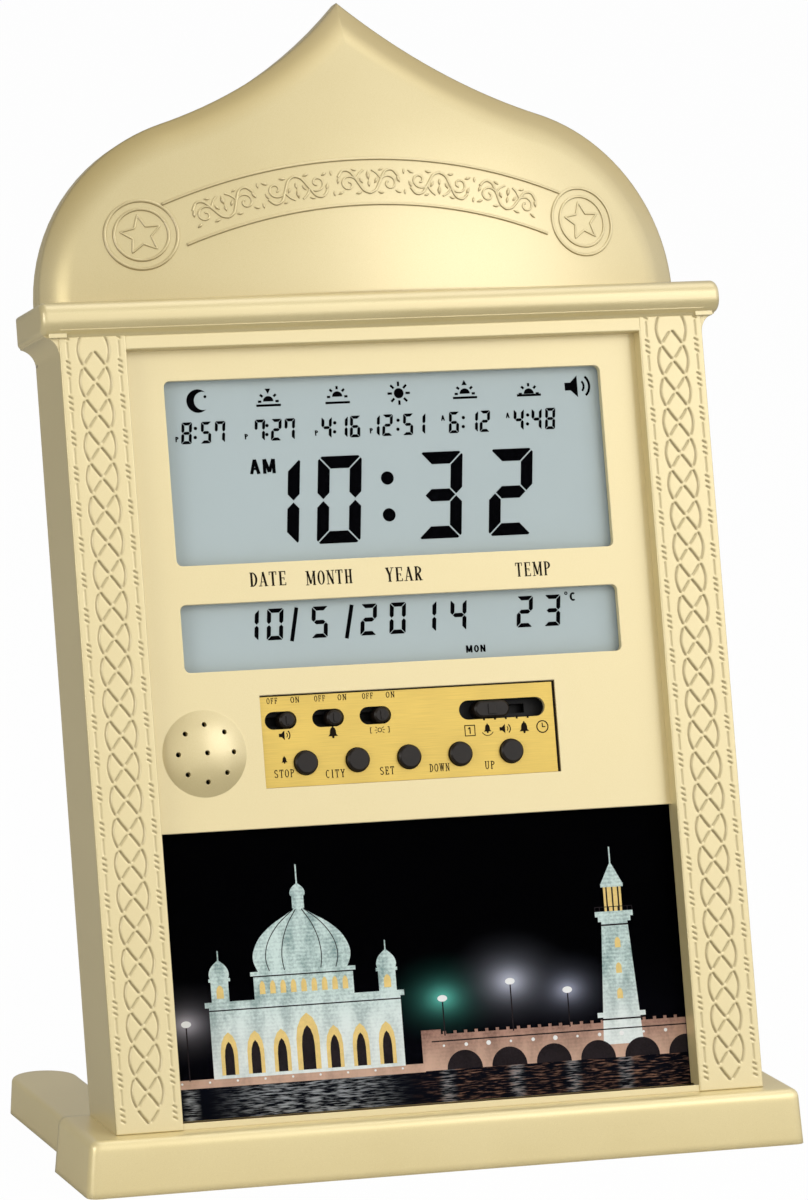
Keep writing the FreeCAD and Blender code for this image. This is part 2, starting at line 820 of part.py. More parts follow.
def battery_springs():
    """One spring at the flat end of each cell."""
    plate = size("doorWidth") / 2 - 1.6
    reach = 2 * plate - 1 - size("cellLength")
    margin = 0.35
    upper = coil(margin - plate, size("cellZ") + size("cellPitch") / 2, reach - 2 * margin)
    lower = coil(plate - margin, size("cellZ") - size("cellPitch") / 2, 2 * margin - reach)
    return solid_feature("battery_springs", Part.makeCompound([upper, lower]))


node("battery_springs", battery_springs())

# ---------------------------------------------------------------- fascia

FASCIA_BACK = "fasciaSink + fasciaWall"
BOARD_POSTS = [(side * size("postX"), z) for z in (109.4, 184.6) for side in (1, -1)]
SWITCH_POSTS = [(-34.6, 79.6), (36.2, 79.6), (-34.6, 102.4), (36.2, 102.4)]
EAR_POSTS = [-1, 1]


def window(name, bottom, tall):
    """A display opening with rounded corners."""
    opening = box(name + "_block", ("-displayWidth / 2", "displayWidth / 2"), ("0", "2 * fasciaSink"),
                  (bottom, f"({bottom}) + ({tall})"))
    depth = 2 * size("fasciaSink")
    return rounded(name, opening, size("windowRound"), lambda e: abs(e.Length - depth) < 1e-4)


def long_slot(name, x, z, length, width, depths):
    """A slot with round ends, along X."""
    half = f"({length}) / 2 - ({width}) / 2"
    return fuse(
        name,
        box(name + "_middle", (f"({x}) - ({half})", f"({x}) + ({half})"), depths,
            (f"({z}) - ({width}) / 2", f"({z}) + ({width}) / 2")),
        rod(name + "_left", f"({width}) / 2", "Y", depths, x=f"({x}) - ({half})", z=z),
        rod(name + "_right", f"({width}) / 2", "Y", depths, x=f"({x}) + ({half})", z=z),
    )


def control_holes(name, depths, slack="0"):
    """The slots and button holes that pass through the plate and the fascia."""
    holes = [
        long_slot(f"{name}_slot_{n}", f"slotX + {n} * slotPitch", "slotZ", f"slotLength + {slack}",
                  f"slotTall + {slack}", depths)
        for n in range(3)
    ]
    holes.append(long_slot(f"{name}_mode", "modeX", "slotZ", f"modeLength + {slack}",
                           f"modeTall + {slack}", depths))
    for n in range(5):
        holes.append(rod(f"{name}_button_{n}", f"buttonRadius + runningGap + {slack}", "Y", depths,
                         x=f"buttonX + {n} * buttonPitch", z="buttonZ"))
    return holes


def fascia():
    panel = box("fascia_block", ("-fasciaWidth / 2", "fasciaWidth / 2"), ("fasciaSink", FASCIA_BACK),
                ("sillHeight + 0.6", "recessTop + 4"))
    picture_opening = box(
        "picture_opening",
        ("-recessWidth / 2", "recessWidth / 2"),
        ("0", "2 * fasciaSink"),
        ("-1", "pictureTop"),
    )
    control_pocket = box(
        "control_pocket",
        ("-controlWidth / 2", "controlWidth / 2"),
        ("0", "fasciaSink + controlSink"),
        ("controlBottom", "controlBottom + controlTall"),
    )
    ball_radius = f"({size('grilleRadius') ** 2 + size('grilleRise') ** 2}) / (2 * grilleRise)"
    dome = cut(
        "grille_dome",
        place(bind(doc.addObject("Part::Sphere", "grille_ball"), Radius=ball_radius),
              "speakerX", f"fasciaSink - grilleRise + {ball_radius}", "speakerZ"),
        box("grille_trim", ("-2 * caseWidth", "caseWidth"), ("fasciaSink + 0.5", "4 * caseWidth"),
            ("-caseWidth", "2 * caseWidth")),
    )
    dome_hollow = place(
        bind(doc.addObject("Part::Sphere", "grille_hollow"), Radius=f"{ball_radius} - fasciaWall"),
        "speakerX", f"fasciaSink - grilleRise + {ball_radius}", "speakerZ",
    )
    dome_clear = common(
        "grille_clear",
        dome_hollow,
        box("grille_clear_block", ("-caseWidth", "caseWidth"), ("-fasciaSink", FASCIA_BACK),
            ("0", "caseWidth")),
    )
    drilled = ("-fasciaSink", "2 * fasciaSink")
    holes = [rod("grille_hole_middle", "grilleHole", "Y", drilled, x="speakerX", z="speakerZ")]
    for n in range(8):
        across = f"speakerX + grilleRing * cos({45 * n})"
        up = f"speakerZ + grilleRing * sin({45 * n})"
        holes.append(rod(f"grille_hole_{n}", "grilleHole", "Y", drilled, x=across, z=up))
    posts = []
    rooted = f"{FASCIA_BACK} - 0.5"
    for n, (x, z) in enumerate(BOARD_POSTS + SWITCH_POSTS):
        posts.append(rod(f"board_post_{n}", "postRadius", "Y", (rooted, "boardFront"), x=x, z=z))
        holes.append(rod(f"board_post_hole_{n}", "postHole", "Y", (FASCIA_BACK, "boardFront + 1"), x=x, z=z))
    for n, side in enumerate(EAR_POSTS):
        ear_x = f"speakerX + ({side}) * earReach"
        posts.append(rod(f"ear_post_{n}", "postRadius", "Y", (rooted, "clampFront"), x=ear_x, z="speakerZ"))
        holes.append(rod(f"ear_post_hole_{n}", "postHole", "Y", (f"{FASCIA_BACK} - 1", f"{FASCIA_BACK} + 2"),
                         x=ear_x, z="speakerZ"))
    for n, z in enumerate(BACKING_HEIGHTS):
        spacer = rod(f"spacer_{n}", "fixingBoss", "Y", (rooted, "backingFront"), x="fixingX", z=z)
        posts.append(both_sides(f"spacers_{n}", spacer))
    for n, z in enumerate(BACKING_HEIGHTS + FASCIA_HEIGHTS):
        bore = rod(f"fixing_bore_{n}", "fixingClear", "Y", (3, 8), x="fixingX", z=z)
        holes.append(both_sides(f"fixing_bores_{n}", bore))
    return cut(
        "fascia",
        fuse("fascia_solid", panel, dome, *posts),
        window("main_opening", "mainBottom", "mainTall"),
        window("date_opening", "dateBottom", "dateTall"),
        picture_opening,
        control_pocket,
        dome_clear,
        *holes,
        *control_holes("fascia", ("0", "2 * fasciaSink")),
    )


node("fascia", fascia())


def control_plate():
    blank = box(
        "plate_blank",
        ("0.1 - controlWidth / 2", "controlWidth / 2 - 0.1"),
        ("fasciaSink + controlSink - plateThick", "fasciaSink + controlSink"),
        ("controlBottom + 0.1", "controlBottom + controlTall - 0.1"),
    )
    return cut("control_plate", blank, *control_holes("plate", ("0", "2 * fasciaSink")))


node("control_plate", control_plate())

# ---------------------------------------------------------------- display

WINDOWS = (("mainBottom", "mainTall"), ("dateBottom", "dateTall"))
GLASS_HALF = "glassWidth / 2"
GLASS_SIDE = (f"-{GLASS_HALF}", GLASS_HALF)


def display_lens():
    """The clear sheet behind both display openings."""
    body = doc.addObject("PartDesign::Body", "display_lens")
    outline = sketch_on(body, "lens_outline", "XZ_Plane", 0, "(dateBottom + mainBottom + mainTall) / 2",
                        f"-({FASCIA_BACK} + lensThick)")
    rectangle_in(outline, "glassWidth - 1", "mainBottom + mainTall - dateBottom + 5")
    pad(body, outline, "lensThick")
    return body


node("display_lens", display_lens())


def glass(name, bottom, tall):
    """Two plies of glass. The front one is taller, and its ledge at the top carries the contacts."""
    front = box(name + "_front", GLASS_SIDE, ("glassFront", "glassFront + glassPly"),
                (f"{bottom} - glassLap", f"{bottom} + {tall} + glassRise"))
    rear = box(name + "_rear", GLASS_SIDE, ("glassFront + glassPly", "glassFront + 2 * glassPly"),
               (f"{bottom} - glassLap", f"{bottom} + {tall} + glassRise - glassLedge"))
    return fuse(name, front, rear)


def connector(name, bottom, tall):
    """The rubber strip between the glass's ledge and the board."""
    return box(name, ("2 - glassWidth / 2", "glassWidth / 2 - 2"), ("glassFront + glassPly", "boardFront"),
               (f"{bottom} + {tall} + glassRise - glassLedge + 0.5", f"{bottom} + {tall} + 4.1"))


def display_tray():
    """The white tray behind the glass, with a slot for each rubber strip."""
    tray = box("tray_block", GLASS_SIDE, ("glassFront + 2 * glassPly + 0.1", "boardFront"),
               ("dateBottom - 1.4", "mainBottom + mainTall + 5"))
    slot_side = (f"1.7 - {GLASS_HALF}", f"{GLASS_HALF} - 1.7")
    slots = [
        box(f"tray_slot_{n}", slot_side, ("glassFront", "boardFront + 1"),
            (f"{bottom} + {tall} + glassRise - glassLedge + 0.2", f"{bottom} + {tall} + 4.4"))
        for n, (bottom, tall) in enumerate(WINDOWS)
    ]
    return cut("display_tray", tray, *slots)


node("main_display", glass("main_display", *WINDOWS[0]))
node("date_display", glass("date_display", *WINDOWS[1]))
node("main_connector", connector("main_connector", *WINDOWS[0]))
node("date_connector", connector("date_connector", *WINDOWS[1]))
node("display_tray", display_tray())

# ---------------------------------------------------------------- boards

BOARD_BACK = "boardFront + boardThick"


def board(label, width, tall, middle_x, middle_z, posts):
    """A circuit board with a screw hole over each post."""
    body = doc.addObject("PartDesign::Body", label)
    outline = sketch_on(body, label + "_outline", "XZ_Plane", middle_x, middle_z, f"-({BOARD_BACK})")
    rectangle_in(outline, width, tall)
    pad(body, outline, "boardThick")
    for n, (x, z) in enumerate(posts):
        spot = sketch_on(body, f"{label}_hole_{n}", "XZ_Plane", x, z, "-boardFront")
        circle_in(spot, 1.1)
        pocket(body, spot, "boardThick + 1")
    return body


MAIN_BOARD = ("boardWidth", "boardTall", 0, "boardBottom + boardTall / 2")
SWITCH_BOARD = ("switchBoardWidth", "switchBoardTall", "switchBoardX", "switchBoardZ")
node("main_board", board("main_board", *MAIN_BOARD, BOARD_POSTS))
node("switch_board", board("switch_board", *SWITCH_BOARD, SWITCH_POSTS))


def on_board(name, x, z, width, tall, rise):
    """A component on the rear of the main board."""
    return box(name, (f"{x} - {width} / 2", f"{x} + {width} / 2"), (BOARD_BACK, f"{BOARD_BACK} + {rise}"),
               (f"{z} - {tall} / 2", f"{z} + {tall} / 2"))


node("clock_chip", on_board("clock_chip", x=6, z=150, width=14, tall=14, rise=1.7))
node("voice_chip", on_board("voice_chip", x=-30, z=134, width=16, tall=8, rise=2.2))
node("crystal", rod("crystal", radius=1.5, axis="X", span=(19, 25.2), y=f"{BOARD_BACK} + 1.6", z=160))
CAPACITORS = ((-48, 128), (-41, 128), (32, 138))


def capacitors():
    cans = [
        rod(f"capacitor_{n}", radius=2.6, axis="Y", span=(BOARD_BACK, f"{BOARD_BACK} + 6.2"), x=x, z=z)
        for n, (x, z) in enumerate(CAPACITORS)
    ]
    return fuse("capacitors", *cans)


node("capacitors", capacitors())
SENSOR_DEPTHS = (BOARD_BACK, f"{BOARD_BACK} + 3")
node("temperature_sensor", rod("temperature_sensor", radius=1.2, axis="Y", span=SENSOR_DEPTHS, x=54, z=112))

# ---------------------------------------------------------------- switches, knobs and buttons

SWITCH_FRONT = 7.6
KNOB_BACK = 7.2
KNOB_THICK = 3.9
RIDGE_RISE = 0.3
FOOT_BACK = 9.6


def tact_switches():
    """Five square push switches, each with the well that its button's stem works in."""
    bodies = []
    for n in range(5):
        x = f"buttonX + {n} * buttonPitch"
        block = box(f"tact_block_{n}", (f"{x} - 3", f"{x} + 3"), (SWITCH_FRONT, "boardFront"),
                    ("buttonZ - 3", "buttonZ + 3"))
        well = rod(f"tact_well_{n}", 1.9, "Y", (SWITCH_FRONT - 1, "boardFront - 0.5"), x=x, z="buttonZ")
        bodies.append(cut(f"tact_{n}", block, well))
    return fuse("tact_switches", *bodies)


def slide_switch(name, x, length, well):
    block = box(name + "_block", (f"{x} - {length} / 2", f"{x} + {length} / 2"),
                (SWITCH_FRONT, "boardFront"), ("slotZ - 2.3", "slotZ + 2.3"))
    hollow = box(name + "_well", (f"{x} - ({well}) / 2", f"{x} + ({well}) / 2"),
                 (SWITCH_FRONT - 1, "boardFront - 0.8"), ("slotZ - 1.1", "slotZ + 1.1"))
    return cut(name, block, hollow)


def slide_switches():
    return fuse("slide_switches", *[
        slide_switch(f"slide_{n}", f"slotX + {n} * slotPitch", 8.8, "knobTravel + 2.4") for n in range(3)
    ])


node("tact_switches", tact_switches())
node("slide_switches", slide_switches())
node("mode_switch", slide_switch("mode_switch", "modeX", 24.6, "4 * modeStep + 2.8"))


def stadium_in(sketch, length, width):
    """A slot outline centred on the sketch's origin: two straight sides and two round ends."""
    half, radius = 4.0, 2.0
    spots = ((-half, radius), (half, radius), (half, -radius), (-half, -radius))
    corners = [FreeCAD.Vector(x, y, 0) for x, y in spots]
    top = sketch.addGeometry(Part.LineSegment(corners[0], corners[1]), False)
    low = sketch.addGeometry(Part.LineSegment(corners[2], corners[3]), False)
    ends = []
    for side in (1, -1):
        circle = Part.Circle(FreeCAD.Vector(side * half, 0, 0), Z_AXIS, radius)
        start = -math.pi / 2 if side > 0 else math.pi / 2
        ends.append(sketch.addGeometry(Part.ArcOfCircle(circle, start, start + math.pi), False))
    right, left = ends
    sketch.addConstraint(Sketcher.Constraint("Tangent", right, 2, top, 2))
    sketch.addConstraint(Sketcher.Constraint("Tangent", right, 1, low, 1))
    sketch.addConstraint(Sketcher.Constraint("Tangent", left, 1, top, 1))
    sketch.addConstraint(Sketcher.Constraint("Tangent", left, 2, low, 2))
    sketch.addConstraint(Sketcher.Constraint("Horizontal", top))
    sketch.addConstraint(Sketcher.Constraint("Symmetric", left, 3, right, 3, -1, 1))
    dimension(sketch, "radius", f"({width}) / 2", "Radius", right, radius)
    dimension(sketch, "apart", f"({length}) - ({width})", "DistanceX", left, 3, right, 3, 2 * half)


def knob(label, x, length, tall, rib):
    """A slide knob: a rounded thumb piece through the plate, and the foot that works in the switch."""
    body = doc.addObject("PartDesign::Body", label)
    shape = sketch_on(body, label + "_shape", "XZ_Plane", x, "slotZ", -KNOB_BACK)
    stadium_in(shape, length, tall)
    thumb = pad(body, shape, KNOB_THICK)
    front = KNOB_BACK - KNOB_THICK
    dress(body, "Chamfer", thumb, "capBevel", lambda e: lies_at(e, y=front))
    foot = sketch_on(body, label + "_foot", "XZ_Plane", x, "slotZ", -FOOT_BACK)
    rectangle_in(foot, 1.8, 1.6)
    pad(body, foot, FOOT_BACK - KNOB_BACK + 0.6)
    ridge = sketch_on(body, label + "_ridge", "XZ_Plane", x, "slotZ", -front - RIDGE_RISE)
    rectangle_in(ridge, rib, f"({tall}) - 1.6")
    pad(body, ridge, 2 * RIDGE_RISE)
    return body


KNOBS = ("call_knob", "alarm_knob", "lamp_knob")
for n, label in enumerate(KNOBS):
    x = f"slotX + {n} * slotPitch + knobTravel / 2"
    node(label, knob(label, x, "knobLength", "slotTall - 0.6", 0.8))
node("mode_knob", knob("mode_knob", "modeX - modeStep", "modeKnob", "modeTall - 0.6", 2.0))


BUTTON_STEPS = (
    ("cap", "buttonRadius", 5.6, 3.0),
    ("collar", "buttonRadius + 1", 6.3, 0.8),
    ("stem", "stemRadius", 9.4, 3.2),
)


def button(label, x):
    """A push button: a crowned cap, the collar that keeps it in, and its stem."""
    body = doc.addObject("PartDesign::Body", label)
    for step, radius, back, length in BUTTON_STEPS:
        outline = sketch_on(body, f"{label}_{step}", "XZ_Plane", x, "buttonZ", -back)
        circle_in(outline, radius)
        feature = pad(body, outline, length)
        if step == "cap":
            front = back - length
            dress(body, "Chamfer", feature, "capBevel", lambda e: lies_at(e, y=front))
    return body


BUTTONS = ("stop_button", "city_button", "set_button", "down_button", "up_button")
for n, label in enumerate(BUTTONS):
    node(label, button(label, f"buttonX + {n} * buttonPitch"))

# ---------------------------------------------------------------- speaker


def turned(name, profile, x, z):
    """A solid turned about an axis along Y through x, z, from radius and depth pairs."""
    outline = doc.addObject("Part::Polygon", name + "_profile")
    outline.Nodes = [FreeCAD.Vector(radius, depth, 0) for radius, depth in profile]
    outline.Close = True
    solid = doc.addObject("Part::Revolution", name + "_turned")
    solid.Source = outline
    solid.Axis = Y_AXIS
    solid.Angle = 360
    solid.Solid = True
    return place(solid, x, 0, z)


SPEAKER_AT = ("speakerX", "speakerZ")
BASKET = (
    (11.6, 5.3), (14, 5.3), (14, 6.4), (13.2, 6.4), (9.2, 11), (3, 11), (3, 10.2), (8.4, 10.2),
    (12.3, 6.3), (11.6, 6.3),
)
CONE = ((0, 8.2), (2.6, 8.9), (11.0, 6.3), (11.9, 6.3), (11.9, 6.6), (2.6, 9.3), (0, 8.6))


node("speaker_frame", turned("speaker_frame", BASKET, *SPEAKER_AT))
node("speaker_cone", turned("speaker_cone", CONE, *SPEAKER_AT))
node("speaker_magnet", rod("speaker_magnet", "magnetRadius", "Y", (11, 14.8), x="speakerX", z="speakerZ"))


def speaker_clamp():
    depths = ("clampFront", "clampFront + clampThick")
    ring = rod("clamp_ring", "speakerRadius + 1", "Y", depths, x="speakerX", z="speakerZ")
    bar = box("clamp_bar", ("speakerX - earReach", "speakerX + earReach"), depths,
              ("speakerZ - earRadius", "speakerZ + earRadius"))
    ears = []
    holes = [rod("clamp_opening", "speakerRadius - 0.6", "Y", (5, 9), x="speakerX", z="speakerZ")]
    for n, side in enumerate(EAR_POSTS):
        x = f"speakerX + ({side}) * earReach"
        ears.append(rod(f"clamp_ear_{n}", "earRadius", "Y", depths, x=x, z="speakerZ"))
        holes.append(rod(f"clamp_hole_{n}", "clampHole", "Y", (5, 9), x=x, z="speakerZ"))
    return cut("speaker_clamp", fuse("clamp_solid", ring, bar, *ears), *holes)


node("speaker_clamp", speaker_clamp())

# ---------------------------------------------------------------- picture

PICTURE_SIDE = ("-recessWidth / 2 - pictureLap", "recessWidth / 2 + pictureLap")
PICTURE_TALL = ("pictureFoot", "pictureTop + 3")
LENS_BACK = f"{FASCIA_BACK} + lensThick"
node("picture_lens", box("picture_lens", PICTURE_SIDE, (FASCIA_BACK, LENS_BACK), PICTURE_TALL))
node("picture_card", box("picture_card", PICTURE_SIDE, (LENS_BACK, "backingFront"), PICTURE_TALL))


def picture_backing():
    sheet_back = box("backing_block", ("0.4 - fasciaWidth / 2", "fasciaWidth / 2 - 0.4"),
                     ("backingFront", "backingFront + backingThick"), ("pictureFoot + 0.2", "pictureTop + 3"))
    holes = [
        both_sides(f"backing_holes_{n}", rod(f"backing_hole_{n}", "fixingClear", "Y", (6, 9), "fixingX", z=z))
        for n, z in enumerate(BACKING_HEIGHTS)
    ]
    return cut("picture_backing", sheet_back, *holes)


node("picture_backing", picture_backing())

# ---------------------------------------------------------------- stand

PLINTH_FRONT = "-standDepth / 2"
PLINTH_REAR = "plinthDepth - standDepth / 2"
FOOT_X = "footOuter - footWidth / 2"
STAND_SCREW_Y = "plinthLead - standDepth / 2 + standReach"
FOOT_SCREW_Y = f"{PLINTH_REAR} - tongueReach / 2"


def plinth():
    body = doc.addObject("PartDesign::Body", "plinth_body")
    outline = sketch_on(body, "plinth_outline", "XY_Plane", 0, f"{PLINTH_FRONT} + plinthDepth", 0)
    rectangle_in(outline, "plinthWidth", "2 * plinthDepth")
    block = drafted(body, pad(body, outline, "plinthHeight"), "plinthDraft")
    top = size("plinthHeight")
    corners = dress(body, "Fillet", block, "plinthCorner", lambda e: e.BoundBox.ZLength > top / 2)
    dress(body, "Fillet", corners, "plinthRound", lambda e: lies_at(e, z=top))
    hollow = box(
        "plinth_hollow",
        ("standWall + 1.2 - plinthWidth / 2", "plinthWidth / 2 - standWall - 1.2"),
        (f"{PLINTH_FRONT} + standWall + 1.2", f"{PLINTH_REAR} - standWall"),
        ("-1", "plinthHeight - standWall"),
    )
    behind = box(
        "plinth_behind",
        ("-plinthWidth", "plinthWidth"),
        (PLINTH_REAR, "2 * standDepth"),
        ("-1", "2 * plinthHeight"),
    )
    notch = box("tongue_notch", (f"{FOOT_X} - tongueWidth / 2 - 0.2", f"{FOOT_X} + tongueWidth / 2 + 0.2"),
                (f"{PLINTH_REAR} - standWall - 1", f"{PLINTH_REAR} + 1"), ("-1", "footHeight - 0.6"))
    ribs = [
        box(f"plinth_rib_{n}", (f"{x} - 0.8", f"{x} + 0.8"),
            (f"{PLINTH_FRONT} + standWall", f"{PLINTH_REAR} - standWall / 2"),
            (4, "plinthHeight - standWall / 2"))
        for n, x in enumerate((-21, 21))
    ]
    boss_span = ("footHeight - 0.7", "plinthHeight - standWall / 2")
    hole_span = (0, "plinthHeight - standWall - 0.4")
    boss = rod("foot_boss", "bossRadius", "Z", boss_span, FOOT_X, FOOT_SCREW_Y)
    boss_hole = rod("foot_boss_hole", "standHole", "Z", hole_span, FOOT_X, FOOT_SCREW_Y)
    stand_hole = rod("plinth_screw_hole", "standClear", "Z", (0, "2 * plinthHeight"), "standScrewX",
                     STAND_SCREW_Y)
    shell = cut("plinth_shell", body, hollow, behind)
    solid = fuse("plinth_solid", shell, both_sides("foot_bosses", boss), *ribs)
    return cut("plinth", solid, both_sides("tongue_notches", notch), both_sides("foot_boss_holes", boss_hole),
               both_sides("plinth_screw_holes", stand_hole))


node("plinth", plinth(), leaning=False)


def foot():
    """A rear foot with a round heel, hollow below, and the tongue that plugs into the plinth."""
    body = doc.addObject("PartDesign::Body", "foot_body")
    outline = sketch_on(body, "foot_outline", "XY_Plane", FOOT_X, PLINTH_REAR, 0)
    half, length = 8.0, 40.0
    spots = ((-half, length), (-half, 0), (half, 0), (half, length))
    corners = [FreeCAD.Vector(x, y, 0) for x, y in spots]
    sides = [outline.addGeometry(Part.LineSegment(corners[n], corners[n + 1]), False) for n in range(3)]
    heel = outline.addGeometry(
        Part.ArcOfCircle(Part.Circle(FreeCAD.Vector(0, length, 0), Z_AXIS, half), 0, math.pi), False
    )
    outline.addConstraint(Sketcher.Constraint("Coincident", sides[0], 2, sides[1], 1))
    outline.addConstraint(Sketcher.Constraint("Coincident", sides[1], 2, sides[2], 1))
    outline.addConstraint(Sketcher.Constraint("Horizontal", sides[1]))
    outline.addConstraint(Sketcher.Constraint("Vertical", sides[0]))
    outline.addConstraint(Sketcher.Constraint("Vertical", sides[2]))
    outline.addConstraint(Sketcher.Constraint("Tangent", heel, 1, sides[2], 2))
    outline.addConstraint(Sketcher.Constraint("Tangent", heel, 2, sides[0], 1))
    outline.addConstraint(Sketcher.Constraint("Symmetric", sides[1], 1, sides[1], 2, -1, 1))
    dimension(outline, "width", "footWidth", "DistanceX", sides[1], 1, sides[1], 2, 2 * half)
    straight = "standDepth - plinthDepth - footWidth / 2"
    dimension(outline, "straight", straight, "DistanceY", sides[2], 1, sides[2], 2, length)
    block = drafted(body, pad(body, outline, "footHeight"), "footDraft")
    top = size("footHeight")
    front = size("plinthDepth") - size("standDepth") / 2
    dress(body, "Fillet", block, "footRound", lambda e: lies_at(e, z=top) and e.BoundBox.YMin > front - 3
          and not e.BoundBox.YMax < front + 3)
    trim = box("foot_trim", ("-plinthWidth", "plinthWidth"), ("-standDepth", PLINTH_REAR),
               ("-1", "footHeight + 1"))
    hollow = box("foot_hollow", (f"{FOOT_X} - footWidth / 2 + 2.4", f"{FOOT_X} + footWidth / 2 - 2.4"),
                 (f"{PLINTH_REAR} + 6", "standDepth / 2 - footWidth / 2"), ("-1", "footHeight - standWall"))
    tongue = box("foot_tongue", (f"{FOOT_X} - tongueWidth / 2", f"{FOOT_X} + tongueWidth / 2"),
                 (f"{PLINTH_REAR} - tongueReach", f"{PLINTH_REAR} + 4"), (1.2, "footHeight - 0.8"))
    screw_hole = rod("tongue_hole", "standClear", "Z", (0, "footHeight"), FOOT_X, FOOT_SCREW_Y)
    screw_sink = rod("tongue_sink", "footSink", "Z", (0, "footSinkDepth"), FOOT_X, FOOT_SCREW_Y)
    solid = fuse("foot_solid", cut("foot_shell", body, trim, hollow), tongue)
    return cut("foot_right", solid, screw_hole, screw_sink)


right_foot = node("foot_right", foot(), leaning=False)
node("foot_left", mirrored("foot_left_twin", right_foot), leaning=False)

# ---------------------------------------------------------------- screws


def screw(name, head, rise, shaft, length):
    """A plain screw. The head's seat is at the origin and the shaft points to -Z."""
    return fuse(
        name,
        rod(name + "_head", head, "Z", (0, rise)),
        rod(name + "_shaft", shaft, "Z", (-length, rise / 2)),
    )


def screw_group(label, master, spots, turn, leaning=True):
    """Copies of one screw at several places, all turned the same way."""
    doc.recompute()
    copies = []
    for spot in spots:
        copy = master.Shape.copy()
        copy.Placement = FreeCAD.Placement(FreeCAD.Vector(*spot), turn)
        copies.append(copy)
    node(label, solid_feature(label, Part.makeCompound(copies)), leaning)


FROM_BEHIND = TURN_TO["Y"]
FROM_BELOW = FreeCAD.Rotation(X_AXIS, 180)
fixing_x = size("fixingX")
seat = size("seatDepth") + size("seatThick")
fascia_rear = size("fasciaSink") + size("fasciaWall")
backing_rear = size("backingFront") + size("backingThick")
board_rear = size("boardFront") + size("boardThick")
clamp_rear = size("clampFront") + size("clampThick")
case_spots = [(side * size("bossX"), seat, z) for z in CASE_BOSS_HEIGHTS for side in (1, -1)]
case_spots += [(x, seat, z) for x, z in CREST_BOSSES]
fascia_spots = [(side * fixing_x, fascia_rear, z) for z in FASCIA_HEIGHTS for side in (1, -1)]
backing_spots = [(side * fixing_x, backing_rear, z) for z in BACKING_HEIGHTS for side in (1, -1)]
board_spots = [(x, board_rear, z) for x, z in BOARD_POSTS + SWITCH_POSTS]
clamp_spots = [
    (size("speakerX") + side * size("earReach"), clamp_rear, size("speakerZ")) for side in EAR_POSTS
]
stand_y = size("plinthLead") - size("standDepth") / 2 + size("standReach")
under_top = size("plinthHeight") - size("standWall")
stand_spots = [(side * size("standScrewX"), stand_y, under_top) for side in (1, -1)]
foot_x = size("footOuter") - size("footWidth") / 2
foot_y = size("plinthDepth") - size("standDepth") / 2 - size("tongueReach") / 2
foot_spots = [(side * foot_x, foot_y, size("footSinkDepth")) for side in (1, -1)]

CASE_SCREW = {"head": 2.5, "rise": 1.6, "shaft": 1.1, "length": 7.4}
STAND_SCREW = {"head": 3.0, "rise": 1.8, "shaft": 1.3, "length": 10.0}
FOOT_SCREW = {"head": 2.6, "rise": 1.6, "shaft": 1.3, "length": 7.2}
SMALL_SCREW = {"head": 1.8, "rise": 1.2, "shaft": 0.8}
screw_group("case_screws", screw("case_screw", **CASE_SCREW), case_spots, FROM_BEHIND)
for label, length, spots in (
    ("fascia_screws", 4.0, fascia_spots),
    ("backing_screws", 6.0, backing_spots),
    ("board_screws", 5.0, board_spots),
    ("clamp_screws", 2.6, clamp_spots),
):
    screw_group(label, screw(label[:-1], length=length, **SMALL_SCREW), spots, FROM_BEHIND)
screw_group("stand_screws", screw("stand_screw", **STAND_SCREW), stand_spots, FROM_BELOW, leaning=False)
screw_group("foot_screws", screw("foot_screw", **FOOT_SCREW), foot_spots, FROM_BELOW, leaning=False)

# ---------------------------------------------------------------- leads


WIRE_SIDES = 8


def wire_section(start, along, radius):
    """The wire's outline across its first run, with flat sides."""
    turn = FreeCAD.Rotation(Z_AXIS, along)
    corners = []
    for n in range(WIRE_SIDES + 1):
        angle = 2 * math.pi * n / WIRE_SIDES
        corners.append(start + turn.multVec(FreeCAD.Vector(math.cos(angle), math.sin(angle), 0) * radius))
    return Part.makePolygon(corners)


def wire_along(name, points, radius):
    """A wire: straight runs joined by tangent arcs as large as the runs allow."""
    points = [FreeCAD.Vector(*point) for point in points]
    edges = []
    start = points[0]
    for before, corner, after in zip(points, points[1:], points[2:]):
        back = before - corner
        ahead = after - corner
        half_turn = (math.pi - back.getAngle(ahead)) / 2
        trim = 0.45 * min(back.Length, ahead.Length)
        bend = trim / math.tan(half_turn)
        arc_start = corner + back.normalize() * trim
        arc_end = corner + ahead.normalize() * trim
        middle = corner + (back + ahead).normalize() * bend * (1 / math.cos(half_turn) - 1)
        print(f"{name}: bend radius {bend:.1f}")
        edges.append(Part.LineSegment(start, arc_start).toShape())
        edges.append(Part.Arc(arc_start, middle, arc_end).toShape())
        start = arc_end
    edges.append(Part.LineSegment(start, points[-1]).toShape())
    route = Part.Wire(edges)
    tube = route.makePipeShell([wire_section(points[0], points[1] - points[0], radius)], True, False)
    area = WIRE_SIDES / 2 * radius**2 * math.sin(2 * math.pi / WIRE_SIDES)
    print(f"{name}: volume {tube.Volume:.1f} of {area * route.Length:.1f}")
    return tube


